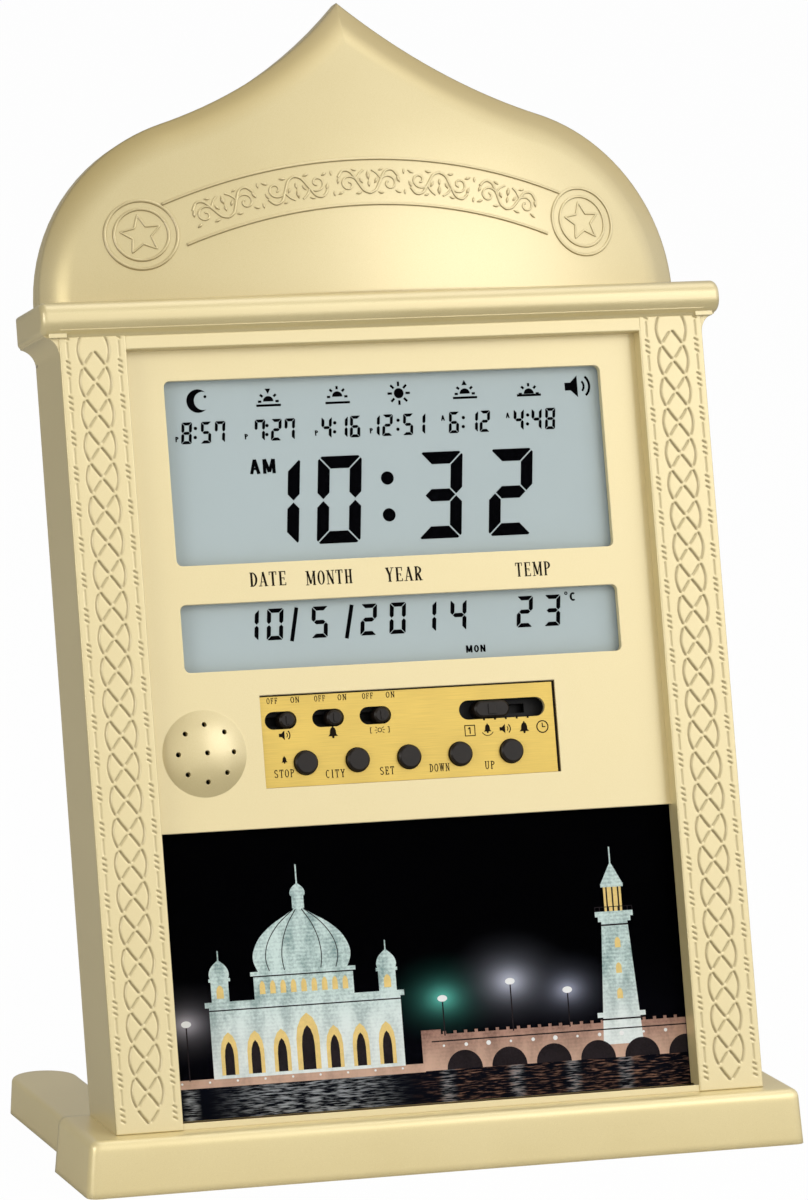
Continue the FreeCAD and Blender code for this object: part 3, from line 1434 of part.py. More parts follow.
tab_end = size("doorWidth") / 2 + 4.4
tab_y = size("tabY")
cell_z = size("cellZ")
half_pitch = size("cellPitch") / 2
LEAD_RADIUS = 0.5
positive_wire = wire_along("positive wire", (
    (tab_end, tab_y, cell_z + half_pitch), (38, tab_y, cell_z + half_pitch), (39, 14.6, 57),
    (37, 16, 71), (33, 17, 86), (31.5, 17.4, 99), (32, 17.2, 110.5), (32, board_rear, 110.5),
), LEAD_RADIUS)
negative_wire = wire_along("negative wire", (
    (tab_end, tab_y, cell_z - half_pitch), (39.5, tab_y, cell_z - half_pitch), (44, 14.6, 42),
    (44, 16, 57), (41, 17, 72), (37, 17.6, 87), (35.5, 17.4, 99), (35, 17.2, 110.5),
    (35, board_rear, 110.5),
), LEAD_RADIUS)
node("battery_leads", solid_feature("battery_leads", Part.makeCompound([positive_wire, negative_wire])))
speaker_z = size("speakerZ")
node("speaker_lead", solid_feature("speaker_lead", wire_along("speaker wire", (
    (-43.5, 11, speaker_z), (-43.5, 15.6, speaker_z), (-43, 17.2, 97), (-42.6, 17, 106),
    (-43, 16.4, 113), (-43, board_rear, 113),
), LEAD_RADIUS)))


def ribbon():
    """The flat cable that joins the two boards in a half loop behind their gap."""
    middle = 105.7
    outer = rod("ribbon_outer", 3.1, "X", (-8, 8), y=BOARD_BACK, z=middle)
    inner = rod("ribbon_inner", 2.6, "X", (-9, 9), y=BOARD_BACK, z=middle)
    behind = box("ribbon_half", (-10, 10), (BOARD_BACK, f"{BOARD_BACK} + 5"), (middle - 5, middle + 5))
    return common("ribbon_cable", cut("ribbon_ring", outer, inner), behind)


node("ribbon_cable", ribbon())

# ---------------------------------------------------------------- checks and export

doc.recompute()
for thing in doc.Objects:
    if "Invalid" in thing.State or "Error" in thing.State:
        raise RuntimeError(f"{thing.Name} failed: {thing.State}")
for label, thing in nodes.items():
    shape = thing.Shape
    if shape.isNull() or not shape.isValid() or not shape.Solids:
        raise RuntimeError(f"{label} has no valid solid")

os.makedirs("parts", exist_ok=True)
for label, thing in nodes.items():
    thing.Shape.exportStep(f"parts/{label}.step")
whole = FreeCAD.BoundBox()
for thing in nodes.values():
    whole.add(thing.Shape.BoundBox)
print(f"{len(nodes)} nodes in about {whole.XLength:.0f} x {whole.YLength:.0f} x {whole.ZLength:.0f} mm")
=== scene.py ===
import math

import bmesh
import bpy
from mathutils import Matrix, Vector
from mathutils.geometry import delaunay_2d_cdt
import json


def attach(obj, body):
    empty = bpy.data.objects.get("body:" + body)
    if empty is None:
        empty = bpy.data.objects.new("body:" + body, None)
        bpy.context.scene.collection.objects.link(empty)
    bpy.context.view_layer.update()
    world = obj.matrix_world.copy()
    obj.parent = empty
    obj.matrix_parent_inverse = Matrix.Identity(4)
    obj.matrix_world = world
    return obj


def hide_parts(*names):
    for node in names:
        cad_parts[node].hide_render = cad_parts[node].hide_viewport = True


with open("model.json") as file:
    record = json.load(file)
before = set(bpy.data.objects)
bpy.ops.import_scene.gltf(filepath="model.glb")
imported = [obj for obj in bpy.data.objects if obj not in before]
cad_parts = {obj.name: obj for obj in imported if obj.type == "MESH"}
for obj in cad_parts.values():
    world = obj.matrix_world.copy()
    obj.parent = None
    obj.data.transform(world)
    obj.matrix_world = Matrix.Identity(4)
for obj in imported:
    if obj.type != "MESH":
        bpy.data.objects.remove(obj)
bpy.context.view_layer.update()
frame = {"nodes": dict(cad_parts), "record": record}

print("frame loaded:", len(frame["nodes"]), "nodes")

mm = 0.001
lean = {"angle": math.radians(-13.7), "foot": (0.0, -44.2, 13.4)}  # the case leans back on the plinth

# Pieces are drawn upright, in millimetres: x across, y into the case, z up along it.
standWorld = Matrix.Scale(mm, 4)
toWorld = standWorld @ Matrix.Translation(lean["foot"]) @ Matrix.Rotation(lean["angle"], 4, "X")


class Value:
    # a socket of a node tree: sums and products written on it add Math nodes
    def __init__(self, sheet, socket):
        self.sheet = sheet
        self.socket = socket

    def calc(self, operation, *others):
        return self.sheet.maths(operation, self, *others)

    def other(self, name):
        return Value(self.sheet, self.socket.node.outputs[name])

    def __add__(self, other):
        return self.calc("ADD", other)

    __radd__ = __add__

    def __sub__(self, other):
        return self.calc("SUBTRACT", other)

    def __rsub__(self, other):
        return self.sheet.maths("SUBTRACT", other, self)

    def __mul__(self, other):
        return self.calc("MULTIPLY", other)

    __rmul__ = __mul__

    def __truediv__(self, other):
        return self.calc("DIVIDE", other)

    def __rtruediv__(self, other):
        return self.sheet.maths("DIVIDE", other, self)

    def __pow__(self, other):
        return self.calc("POWER", other)

    def __abs__(self):
        return self.calc("ABSOLUTE")

    def root(self):
        return self.calc("SQRT")

    def above(self, limit):
        return self.calc("GREATER_THAN", limit)

    def atLeast(self, other):
        return self.calc("MAXIMUM", other)

    def atMost(self, other):
        return self.calc("MINIMUM", other)

    def step(self, low, high, start=0.0, end=1.0):
        inputs = {"Value": self, "From Min": low, "From Max": high, "To Min": start, "To Max": end}
        return self.sheet.node("ShaderNodeMapRange", inputs, interpolation_type="SMOOTHSTEP")


class Sheet:
    # a node tree under construction
    def __init__(self, tree):
        self.tree = tree
        tree.nodes.clear()

    def node(self, kind, inputs=(), out=0, **settings):
        item = self.tree.nodes.new(kind)
        for key, setting in settings.items():
            setattr(item, key, setting)
        for key, value in inputs.items() if isinstance(inputs, dict) else enumerate(inputs):
            if isinstance(value, Value):
                self.tree.links.new(value.socket, item.inputs[key])
            else:
                item.inputs[key].default_value = value
        return Value(self, item.outputs[out]) if len(item.outputs) else None

    def maths(self, operation, *values):
        return self.node("ShaderNodeMath", values, operation=operation)

    def vector(self, x=0.0, y=0.0, z=0.0):
        return self.node("ShaderNodeCombineXYZ", (x, y, z))

    def parts(self, vector):
        x = self.node("ShaderNodeSeparateXYZ", {0: vector})
        return x, x.other("Y"), x.other("Z")

    def mix(self, factor, first, second):
        first, second = (c if isinstance(c, Value) else (*c, 1.0) for c in (first, second))
        return self.node("ShaderNodeMix", {0: factor, 6: first, 7: second}, 2, data_type="RGBA")

    def upright(self):
        # the case's own coordinates in millimetres
        place = {
            "Vector": self.node("ShaderNodeTexCoord", out="Object"),
            "Location": tuple(mm * v for v in lean["foot"]),
            "Rotation": (lean["angle"], 0.0, 0.0),
            "Scale": (mm, mm, mm),
        }
        return self.node("ShaderNodeMapping", place, vector_type="TEXTURE")

    def level(self):
        # the stand's coordinates in millimetres
        return self.stretch(self.node("ShaderNodeTexCoord", out="Object"), (1 / mm,) * 3)

    def stretch(self, vector, scale):
        return self.node("ShaderNodeMapping", {"Vector": vector, "Scale": scale})

    def noise(self, vector, size, detail=2.0, rough=0.5):
        inputs = {"Vector": vector, "Scale": 1.0 / size, "Detail": detail, "Roughness": rough}
        return self.node("ShaderNodeTexNoise", inputs, "Fac")

    def bevel(self, radius, samples=4):
        return self.node("ShaderNodeBevel", {"Radius": radius * mm}, samples=samples)

    def bump(self, height, strength, distance, normal=None):
        inputs = {"Strength": strength, "Distance": distance * mm, "Height": height}
        if normal:
            inputs["Normal"] = normal
        return self.node("ShaderNodeBump", inputs)

    def moved(self, geometry, position):
        return self.node("GeometryNodeSetPosition", {"Geometry": geometry, "Position": position})

    # stores the mask that the gold paint turns into painted shade
    def marked(self, geometry, cut):
        inputs = {"Geometry": geometry, "Name": "cut", "Value": cut}
        return self.node("GeometryNodeStoreNamedAttribute", inputs)

    def smooth(self, geometry):
        return self.node("GeometryNodeSetShadeSmooth", {"Geometry": geometry})

    def joined(self, first, second):
        both = self.node("GeometryNodeJoinGeometry", {0: first})
        self.tree.links.new(second.socket, both.socket.node.inputs[0])
        return both


def srgb(red, green, blue):
    def line(level):
        level /= 255.0
        return level / 12.92 if level <= 0.04045 else ((level + 0.055) / 1.055) ** 2.4

    return (line(red), line(green), line(blue))


def scaled(colour, by):
    return tuple(min(1.0, by * part) for part in colour)


def finish(name, make, **fixed):
    paint = bpy.data.materials.new(name)
    paint.use_nodes = True
    sheet = Sheet(paint.node_tree)
    inputs = {key.replace("_", " "): value for key, value in fixed.items()}
    for key, value in make(sheet).items():
        inputs[key] = (*value, 1.0) if isinstance(value, tuple) else value
    shader = sheet.node("ShaderNodeBsdfPrincipled", inputs)
    sheet.node("ShaderNodeOutputMaterial", {"Surface": shader})
    return paint


goldPaint = {
    "pale": srgb(228, 212, 162),
    "deep": srgb(207, 187, 126),
    "grooveShade": srgb(128, 104, 52),  # painted shade in the grooves and on the lower sides of raised lines
    "rim": srgb(206, 176, 92),  # and painted shade where the crest rolls over
    "rimShadeWidth": 9.0,
    "rimShadeRise": (200.0, 232.0),  # the heights between which the painted rim shade comes in
    "cloud": 26.0,  # mm between slow changes of tone
    "peel": 0.55,  # width in mm of the lacquer's dimples
    "flake": 0.16,
    "rough": 0.38,
    "crisp": 0.32,  # the edges that get a painted highlight
    "edgeHighlight": (0.995, 0.86),
    "edgeHighlightShare": 0.35,
    "edgeHighlightPale": 1.12,
    "grooveShadeShare": 0.75,
    "rimShadeShare": 0.6,
    "dimple": (0.22, 0.03),  # strength, and depth in mm
    "edges": {"case": 0.32, "crest": 1.2, "stand": 2.4},  # how round the mouldings' edges look, in mm
    # painted light: the stand's colours are lightened, as its upright faces catch less lamp light
    "lift": {"case": 1.0, "crest": 1.0, "stand": 1.2},
}
crestEdge = {
    "shoulder": (36.0, 199.7, 45.4),  # x, z and radius of the arc at each side
    "swan": (78.41, 346.5, 107.4),  # and of the arc up to the point
    "joint": (0.961, -0.278),  # across the line where they meet
    "roll": 8.0,  # how far in the face starts to roll over
    "fall": 0.45,
}


def fromEdge(sheet, spot):
    # mm from the crest's outline, and the height lost there
    x, _, z = sheet.parts(spot)
    across, up, reach = crestEdge["shoulder"]
    a, b = abs(x) - across, z - up
    shoulder = reach - (a * a + b * b) ** 0.5
    across, up, reach = crestEdge["swan"]
    c, d = abs(x) - across, z - up
    swan = (c * c + d * d) ** 0.5 - reach
    low = (a * crestEdge["joint"][0] + b * crestEdge["joint"][1]).above(0.0)
    near = swan + (shoulder - swan) * low
    fold = (1 - near / crestEdge["roll"]).atLeast(0.0)
    return near, -crestEdge["fall"] * crestEdge["roll"] * fold * fold


def goldLacquer(edge, leaning=True):
    def make(sheet):
        spot = sheet.upright() if leaning else sheet.level()
        cloud = sheet.noise(spot, goldPaint["cloud"], 3.0)
        flake = sheet.noise(spot, goldPaint["flake"], 1.0)
        peel = sheet.noise(spot, goldPaint["peel"], 2.0, 0.6)
        soft = sheet.bevel(goldPaint["edges"][edge], 8)
        flat = sheet.node("ShaderNodeNewGeometry", out="Normal")
        # painted highlight: near sharp edges, where the rounded normal turns from the flat one, the colour
        # is lightened
        turn = (sheet.bevel(goldPaint["crisp"]), flat)
        turned = sheet.node("ShaderNodeVectorMath", turn, "Value", operation="DOT_PRODUCT")
        edgeHighlight = turned.step(*goldPaint["edgeHighlight"])
        tone = 0.5 + 0.35 * (cloud - 0.5) + 0.75 * (flake - 0.5)
        # the stand's lift is painted light
        deep, pale = (scaled(goldPaint[shade], goldPaint["lift"][edge]) for shade in ("deep", "pale"))
        colour = sheet.mix(tone, deep, pale)
        bright = scaled(goldPaint["pale"], goldPaint["edgeHighlightPale"])
        colour = sheet.mix(edgeHighlight * goldPaint["edgeHighlightShare"], colour, bright)
        if edge == "crest":
            # painted shade: high on the crest, the colour darkens towards the outline where the face rolls
            # over
            near, drop = fromEdge(sheet, spot)
            high = sheet.parts(spot)[2].step(*goldPaint["rimShadeRise"])
            share = near.step(goldPaint["rimShadeWidth"], 0.5) * high * goldPaint["rimShadeShare"]
            colour = sheet.mix(share, colour, goldPaint["rim"])
            soft = sheet.bump(drop, 1.0, 1.0, soft)
        # painted shade: where the "cut" mask is set, the colour darkens towards the groove shade
        cut = sheet.node("ShaderNodeAttribute", out="Fac", attribute_name="cut")
        return {
            "Base Color": sheet.mix(cut * goldPaint["grooveShadeShare"], colour, goldPaint["grooveShade"]),
            "Roughness": goldPaint["rough"] + 0.1 * (cloud - 0.5) + 0.08 * (flake - 0.5) - 0.08 * edgeHighlight,
            "Normal": sheet.bump(peel * 0.7 + flake * 0.3, *goldPaint["dimple"], soft),
        }

    return make


def moulded(colour, lighter=1.25, grain=0.4, roughness=0.45, cloudy=6.0, dent=0.02):
    # plain plastic: faint clouds, fine grain, softened edges
    def make(sheet):
        spot = sheet.upright()
        cloud = sheet.noise(spot, cloudy, 3.0)
        fine = sheet.noise(spot, grain, 2.0)
        tone = (cloud * 0.6 + fine * 0.4).step(0.3, 0.7)
        return {
            "Base Color": sheet.mix(tone, colour, scaled(colour, lighter)),
            "Roughness": roughness + 0.16 * (fine - 0.5),
            "Normal": sheet.bump(fine, 0.3, dent, sheet.bevel(0.15)),
        }

    return make


def foil(colour):
    # printed foil with a fine horizontal brushing
    def make(sheet):
        spot = sheet.upright()
        brushed = sheet.noise(sheet.stretch(spot, (0.12, 1.0, 6.0)), 1.0, 3.0)
        tone = (brushed * 0.6 + sheet.noise(spot, 14.0) * 0.4).step(0.3, 0.7)
        return {
            "Base Color": sheet.mix(tone, scaled(colour, 0.88), scaled(colour, 1.08)),
            "Roughness": 0.34 + 0.12 * (brushed - 0.5),
            "Normal": sheet.bump(brushed, 0.15, 0.01),
        }

    return make


def displayGlass(sheet):
    # reflective liquid-crystal glass: even grey, with painted shade towards its left and right ends
    spot = sheet.upright()
    grain = sheet.noise(spot, 0.25, 1.0)
    cloud = sheet.noise(spot, 30.0)
    rim = abs(sheet.parts(spot)[0]).step(49.0, 57.0)
    tone = 0.72 + 0.12 * (cloud - 0.5) + 0.06 * (grain - 0.5) - 0.25 * rim
    colour = sheet.mix(tone, srgb(168, 182, 184), srgb(198, 211, 211))
    return {"Base Color": colour, "Roughness": 0.42 + 0.08 * (grain - 0.5)}


def clearPolish(sheet):
    # polished clear sheet: not seen face on, glossy when seen along it
    edge = sheet.node("ShaderNodeLayerWeight", {"Blend": 0.28})
    smear = sheet.noise(sheet.upright(), 18.0, 3.0)
    alpha = (0.22 * edge**2.4 - 0.0005).atLeast(0.0)
    return {"Base Color": (0.95, 0.97, 1.0), "Alpha": alpha, "Roughness": 0.04 + 0.05 * smear}


def boardGreen(sheet):
    spot = sheet.upright()
    weave = sheet.noise(spot, 0.5, 1.0)
    inputs = {"Vector": spot, "Scale": 0.22, "Mortar Size": 0.02}
    for key, colour in (("Color1", (22, 88, 46)), ("Color2", (26, 98, 52)), ("Mortar", (52, 130, 66))):
        inputs[key] = (*srgb(*colour), 1)
    tracks = sheet.node("ShaderNodeTexBrick", inputs)
    return {"Base Color": tracks, "Roughness": 0.35 + 0.1 * (weave - 0.5)}


def brushedSteel(colour, roughness):
    def make(sheet):
        spot = sheet.node("ShaderNodeTexCoord", out="Object")
        streak = sheet.noise(sheet.stretch(spot, (3000.0, 3000.0, 400.0)), 1.0, 3.0)
        tone = (streak * 0.5 + sheet.noise(spot, 4.0 * mm) * 0.5).step(0.3, 0.7)
        steel = sheet.mix(tone, scaled(colour, 0.82), colour)
        return {"Base Color": steel, "Roughness": roughness + 0.2 * (streak - 0.5)}

    return make


def cellJacket(sheet):
    # plain shrink-wrapped cells: a dark body with copper-coloured ends
    spot = sheet.upright()
    band = abs(sheet.parts(spot)[0]).step(13.0, 13.3)
    fine = sheet.noise(spot, 1.2)
    colour = sheet.mix(band * (0.9 + 0.1 * fine), srgb(38, 46, 58), srgb(170, 112, 66))
    return {"Base Color": colour, "Roughness": 0.26 + 0.1 * fine}


goldGloss = {
    "Metallic": 0.3,
    "Specular_IOR_Level": 0.4,
    "Coat_Weight": 0.8,
    "Coat_Roughness": 0.32,
    "Coat_IOR": 1.8,
}
knobBlack = moulded(srgb(25, 19, 14), 1.5, 0.3, 0.36, 3.0, 0.015)
chipEpoxy = moulded(srgb(22, 21, 21), 1.5, 0.2, 0.5)
labelInk = moulded(srgb(26, 19, 11), 1.3, 0.2, 0.5)
segmentInk = moulded(srgb(5, 5, 7), 1.2, 0.2, 0.45)
finishes = {
    "gold": finish("satinGold", goldLacquer("case"), **goldGloss),
    "gold_crest": finish("satinGoldCrest", goldLacquer("crest"), **goldGloss),
    "gold_stand": finish("satinGoldStand", goldLacquer("stand", False), **goldGloss),
    "plate_gold": finish("plateFoil", foil(srgb(210, 179, 87)), Metallic=0.4),
    "black_knob": finish("knobBlack", knobBlack, Specular_IOR_Level=0.25),
    "clear_sheet": finish("clearPolish", clearPolish, Metallic=1.0),
    "lcd_glass": finish("displayGlass", displayGlass, Specular_IOR_Level=0.3),
    "rubber_strip": finish("connectorRubber", moulded(srgb(92, 92, 96), roughness=0.6)),
    "tray_white": finish("trayPlastic", moulded(srgb(232, 232, 226), 1.05)),
    "print_card": finish("cardStock", moulded(srgb(30, 28, 30), 1.2, 0.8, 0.5)),
    "backing_board": finish("pressedBoard", moulded(srgb(142, 112, 76), 1.2, 0.35, 0.7, 4.0, 0.05)),
    "circuit_board": finish("boardGreen", boardGreen),
    "chip_black": finish("chipEpoxy", chipEpoxy, Specular_IOR_Level=0.2),
    "bright_steel": finish("zincSteel", brushedSteel(srgb(214, 214, 210), 0.32), Metallic=1.0),
    "spring_nickel": finish("springNickel", brushedSteel(srgb(226, 222, 212), 0.2), Metallic=1.0),
    "cell_jacket": finish("cellJacket", cellJacket, Metallic=0.3),
    "capacitor_can": finish("canSleeve", moulded(srgb(38, 46, 74), 1.3, 0.5, 0.3)),
    "speaker_black": finish("basketBlack", moulded(srgb(34, 34, 36), 1.4)),
    "cone_paper": finish("conePaper", moulded(srgb(48, 44, 40), 1.5, 0.25, 0.75, 2.0, 0.06)),
    "magnet": finish("ferrite", moulded(srgb(78, 78, 82), 1.2, 0.3, 0.55)),
    "wire": finish("wireSleeve", moulded(srgb(150, 30, 26), 1.15, 0.5, 0.4)),
    "ribbon": finish("ribbonGrey", moulded(srgb(196, 197, 200), 1.05, 0.6, 0.45)),
    "label": finish("labelInk", labelInk, Specular_IOR_Level=0.04),
    "segment": finish("segmentInk", segmentInk, Specular_IOR_Level=0.005),
}


def treeInputs(name, sizes):
    # a geometry tree with a named input for each size
    tree = bpy.data.node_groups.new(name, "GeometryNodeTree")
    for way in ("INPUT", "OUTPUT"):
        tree.interface.new_socket("Geometry", in_out=way, socket_type="NodeSocketGeometry")
    for key, size in sizes.items():
        kind = "NodeSocketInt" if isinstance(size, int) else "NodeSocketFloat"
        tree.interface.new_socket(key, in_out="INPUT", socket_type=kind).default_value = size
    sheet = Sheet(tree)
    start = sheet.node("NodeGroupInput")
    return sheet, start, {key: start.other(key) for key in sizes}


def setSizes(modifier, sizes):
    for item in modifier.node_group.interface.items_tree:
        if item.in_out == "INPUT" and item.name in sizes:
            modifier[item.identifier] = sizes[item.name]


smoothing = {
    "join": 0.0005,  # mm
    "sharp": 28.0,  # degrees
    "fascia": 20.0,  # the grille's rim stays crisp
}


def smoothTree():
    sheet, start, size = treeInputs("smoothFacets", {"Sharp": smoothing["sharp"]})
    merge = {"Geometry": start, "Distance": smoothing["join"] * mm}
    joined = sheet.node("GeometryNodeMergeByDistance", merge)
    folds = (sheet.node("GeometryNodeInputMeshEdgeAngle"), size["Sharp"] * math.radians(1.0))
    crease = sheet.node("FunctionNodeCompare", folds, operation="GREATER_THAN")
    edges = {"Geometry": sheet.smooth(joined), "Selection": crease, "Shade Smooth": False}
    sheet.node("NodeGroupOutput", {0: sheet.node("GeometryNodeSetShadeSmooth", edges, domain="EDGE")})
    return sheet.tree


slots = {part["node"]: part["material_slot"] for part in frame["record"]["subparts"]}
smoothFacets = smoothTree()
for name, piece in frame["nodes"].items():
    wanted = finishes["gold_crest" if name == "crest" else slots[name]]
    for slot in piece.material_slots:
        slot.material = wanted
    if not piece.material_slots:
        piece.data.materials.append(wanted)
    smoother = piece.modifiers.new("smooth", "NODES")
    smoother.node_group = smoothFacets
    setSizes(smoother, {"Sharp": smoothing.get(name, smoothing["sharp"])})
print("packed nodes finished")


def placeObject(name, data):
    thing = bpy.data.objects.new(name, data)
    bpy.context.collection.objects.link(thing)
    return thing


class Bench:
    # gathers closed parts of one mesh
    def __init__(self):
        self.points = []
        self.faces = []

    def add(self, points, faces):
        base = len(self.points)
        self.points += points
        self.faces += [[base + n for n in face] for face in faces]

    def plate(self, shapes, front, thick):
        # shapes in x and z, joined where they overlap, as one thin closed plate
        spots, loops = [], []
        for shape in shapes:
            area = sum(a[0] * b[1] - b[0] * a[1] for a, b in zip(shape, shape[1:] + shape[:1]))
            loops.append(list(range(len(spots), len(spots) + len(shape))))
            spots += [Vector(spot) for spot in (shape if area > 0 else shape[::-1])]
        flat, _, faces, _, _, owners = delaunay_2d_cdt(spots, [], loops, 1, 1e-4)
        faces = [face for face, owner in zip(faces, owners) if owner]  # enclosed gaps stay open
        count = len(flat)
        edges, solid = {}, []
        for face in faces:
            solid.append(list(face))
            solid.append([n + count for n in reversed(face)])
            edges.update({edge: None for edge in zip(face, face[1:] + face[:1])})
        solid += [[b, a, a + count, b + count] for a, b in edges if (b, a) not in edges]
        self.add([(x, y, z) for y in (front, front + thick) for x, z in flat], solid)

    def softBox(self, low, high, reach, steps=3):
        work = bmesh.new()
        bmesh.ops.create_cube(work, size=1.0)
        for vertex in work.verts:
            vertex.co = Vector([(a + b) / 2 + (b - a) * c for a, b, c in zip(low, high, vertex.co)])
        shape = {"offset": reach, "segments": steps, "profile": 0.5}
        bmesh.ops.bevel(work, geom=work.edges[:], affect="EDGES", **shape)
        self.add([tuple(v.co) for v in work.verts], [[v.index for v in face.verts] for face in work.faces])
        work.free()

    def piece(self, name, paint):
        # case millimetres to world metres, doubles merged, flat faces turned outwards
        mesh = bpy.data.meshes.new(name)
        mesh.from_pydata([toWorld @ Vector(p) for p in self.points], [], self.faces)
        work = bmesh.new()
        work.from_mesh(mesh)
        bmesh.ops.remove_doubles(work, verts=work.verts, dist=0.0004 * mm)
        bmesh.ops.recalc_face_normals(work, faces=work.faces)
        for face in work.faces:
            face.smooth = False
        work.to_mesh(mesh)
        work.free()
        mesh.materials.append(paint)
        return placeObject(name, mesh)


def grow(name, sheet, last, paint, sizes, seed=None, place=toWorld):
    # run a geometry tree once and keep its result as a plain mesh
    real = sheet.node("GeometryNodeRealizeInstances", {"Geometry": last})
    dressed = sheet.node("GeometryNodeSetMaterial", {"Geometry": real, "Material": paint})
    sheet.node("NodeGroupOutput", {0: dressed})
    holder = placeObject(name + "Seed", seed or bpy.data.meshes.new(name + "Seed"))
    modifier = holder.modifiers.new("grow", "NODES")
    modifier.node_group = sheet.tree
    setSizes(modifier, sizes)
    bpy.context.view_layer.update()
    scene = bpy.context.evaluated_depsgraph_get()
    mesh = bpy.data.meshes.new_from_object(holder.evaluated_get(scene))
    holder.modifiers.clear()
    bpy.data.objects.remove(holder)
    mesh.name = name
    mesh.transform(place)
    return placeObject(name, mesh)


def polar(reach, degrees, x=0.0, z=0.0):
    angle = math.radians(degrees)
    return (x + reach * math.cos(angle), z + reach * math.sin(angle))


def arc(x, z, wide, tall, start, end, steps):
    # points along an ellipse from start to end, in degrees
    angles = [math.radians(start + (end - start) * n / steps) for n in range(steps + 1)]
    return [(x + wide * math.cos(angle), z + tall * math.sin(angle)) for angle in angles]


def circle(x, z, radius, count=24):
    return arc(x, z, radius, radius, 0, 360, count)[:-1]


def arcBand(x, z, outer, inner, start=0, end=360, steps=16):
    # quads between two ellipses; outer and inner are (wide, tall)
    far, near = arc(x, z, *outer, start, end, steps), arc(x, z, *inner, start, end, steps)
    return [[a, b, d, c] for a, b, c, d in zip(far, far[1:], near, near[1:])]


def ring(outer, inner, start=0, end=360, steps=16, x=0.0, z=0.0):
    return arcBand(x, z, (outer, outer), (inner, inner), start, end, steps)


def bar(x0, z0, x1, z1):
    return [(x0, z0), (x1, z0), (x1, z1), (x0, z1)]


def slabs(x, *rows):
    # bars centred on x; each row is half the width, then the lower and upper edge
    return [bar(x - half, low, x + half, high) for half, low, high in rows]


def stroke(a, b, width):
    a, b = Vector(a), Vector(b)
    along = (b - a).normalized() * width / 2
    side = Vector((-along.y, along.x))
    return [tuple(spot) for spot in (a - side, b - side, b + side, a + side)]


def mirrored(x, side):
    # a closed outline from its right half, whose last point lies on the middle line
    return [(x + a, b) for a, b in side] + [(x - a, b) for a, b in reversed(side[:-1])]


def placed(shapes, x, z, scale=1.0, slant=0.0):
    return [[(x + scale * (a + slant * b), z + scale * b) for a, b in shape] for shape in shapes]


def walk(points, step=0.5):
    # the same line with points no further apart than step
    out = [points[0]]
    for a, b in zip(points, points[1:]):
        parts = max(1, math.ceil((Vector(b) - Vector(a)).length / step))
        out += [tuple(Vector(a).lerp(Vector(b), n / parts)) for n in range(1, parts + 1)]
    return out


def smoothLine(knots, steps=8):
    # a rounded line through the knots
    out = []
    padded = [Vector(knot) for knot in (knots[0], *knots, knots[-1])]
    for a, b, c, d in zip(padded, padded[1:], padded[2:], padded[3:]):
        bend, twist = 2 * a - 5 * b + 4 * c - d, 3 * b - a - 3 * c + d
        for t in (n / steps for n in range(steps)):
            out.append(tuple(0.5 * (2 * b + (c - a) * t + bend * t**2 + twist * t**3)))
    return out + [tuple(knots[-1])]


def curl(x, z, start, turns, outer, inner, steps=40):
    # a spiral that winds in from outer to inner
    shares = [n / steps for n in range(steps + 1)]
    return [polar(outer + (inner - outer) * t**0.8, start + 360 * turns * t, x, z) for t in shares]


pilaster = {
    "inputs": {
        "Middle": 73.5,
        "Relief": 0.5,
        "Strand reach": 3.85,
        "Braid foot": 1.9,
        "Braid pitch": 7.7,
        "Groove": 0.3,  # half the groove's width
        "Gap": 0.42,  # half the break where strands cross
        "Side line": 6.4,
        "Knot pitch": 8.486,
        "Tick pitch": 1.37,
    },
    "half": 8.3,  # half its width
    "top": 190.0,
    "back": 0.12,
    "round": 0.32,
    "cell": (0.17, 0.21),
    "web": 0.06,  # what is left below the deepest cut
    "walls": (1.05, 0.35),  # where a groove's wall starts and ends, in half widths
    "braidRows": 24,
    "crossing": (-0.12, 0.18),
    "passed": 0.8,
    "strandDepth": (0.7, 0.3),
    "knotFoot": 4.4,
    "knotReach": 1.55,
    "lineDepth": 0.4,
    "lineFoot": (4.0, 4.4),
    "lineBreak": (2.2, 2.5),
    "tickDepth": 0.8,
    "tickHalf": 0.45,
    "tickSlant": 0.55,
    "tickSteep": 1.14,
}


def highest(values):
    top = values[0]
    for value in values[1:]:
        top = top.atLeast(value)
    return top


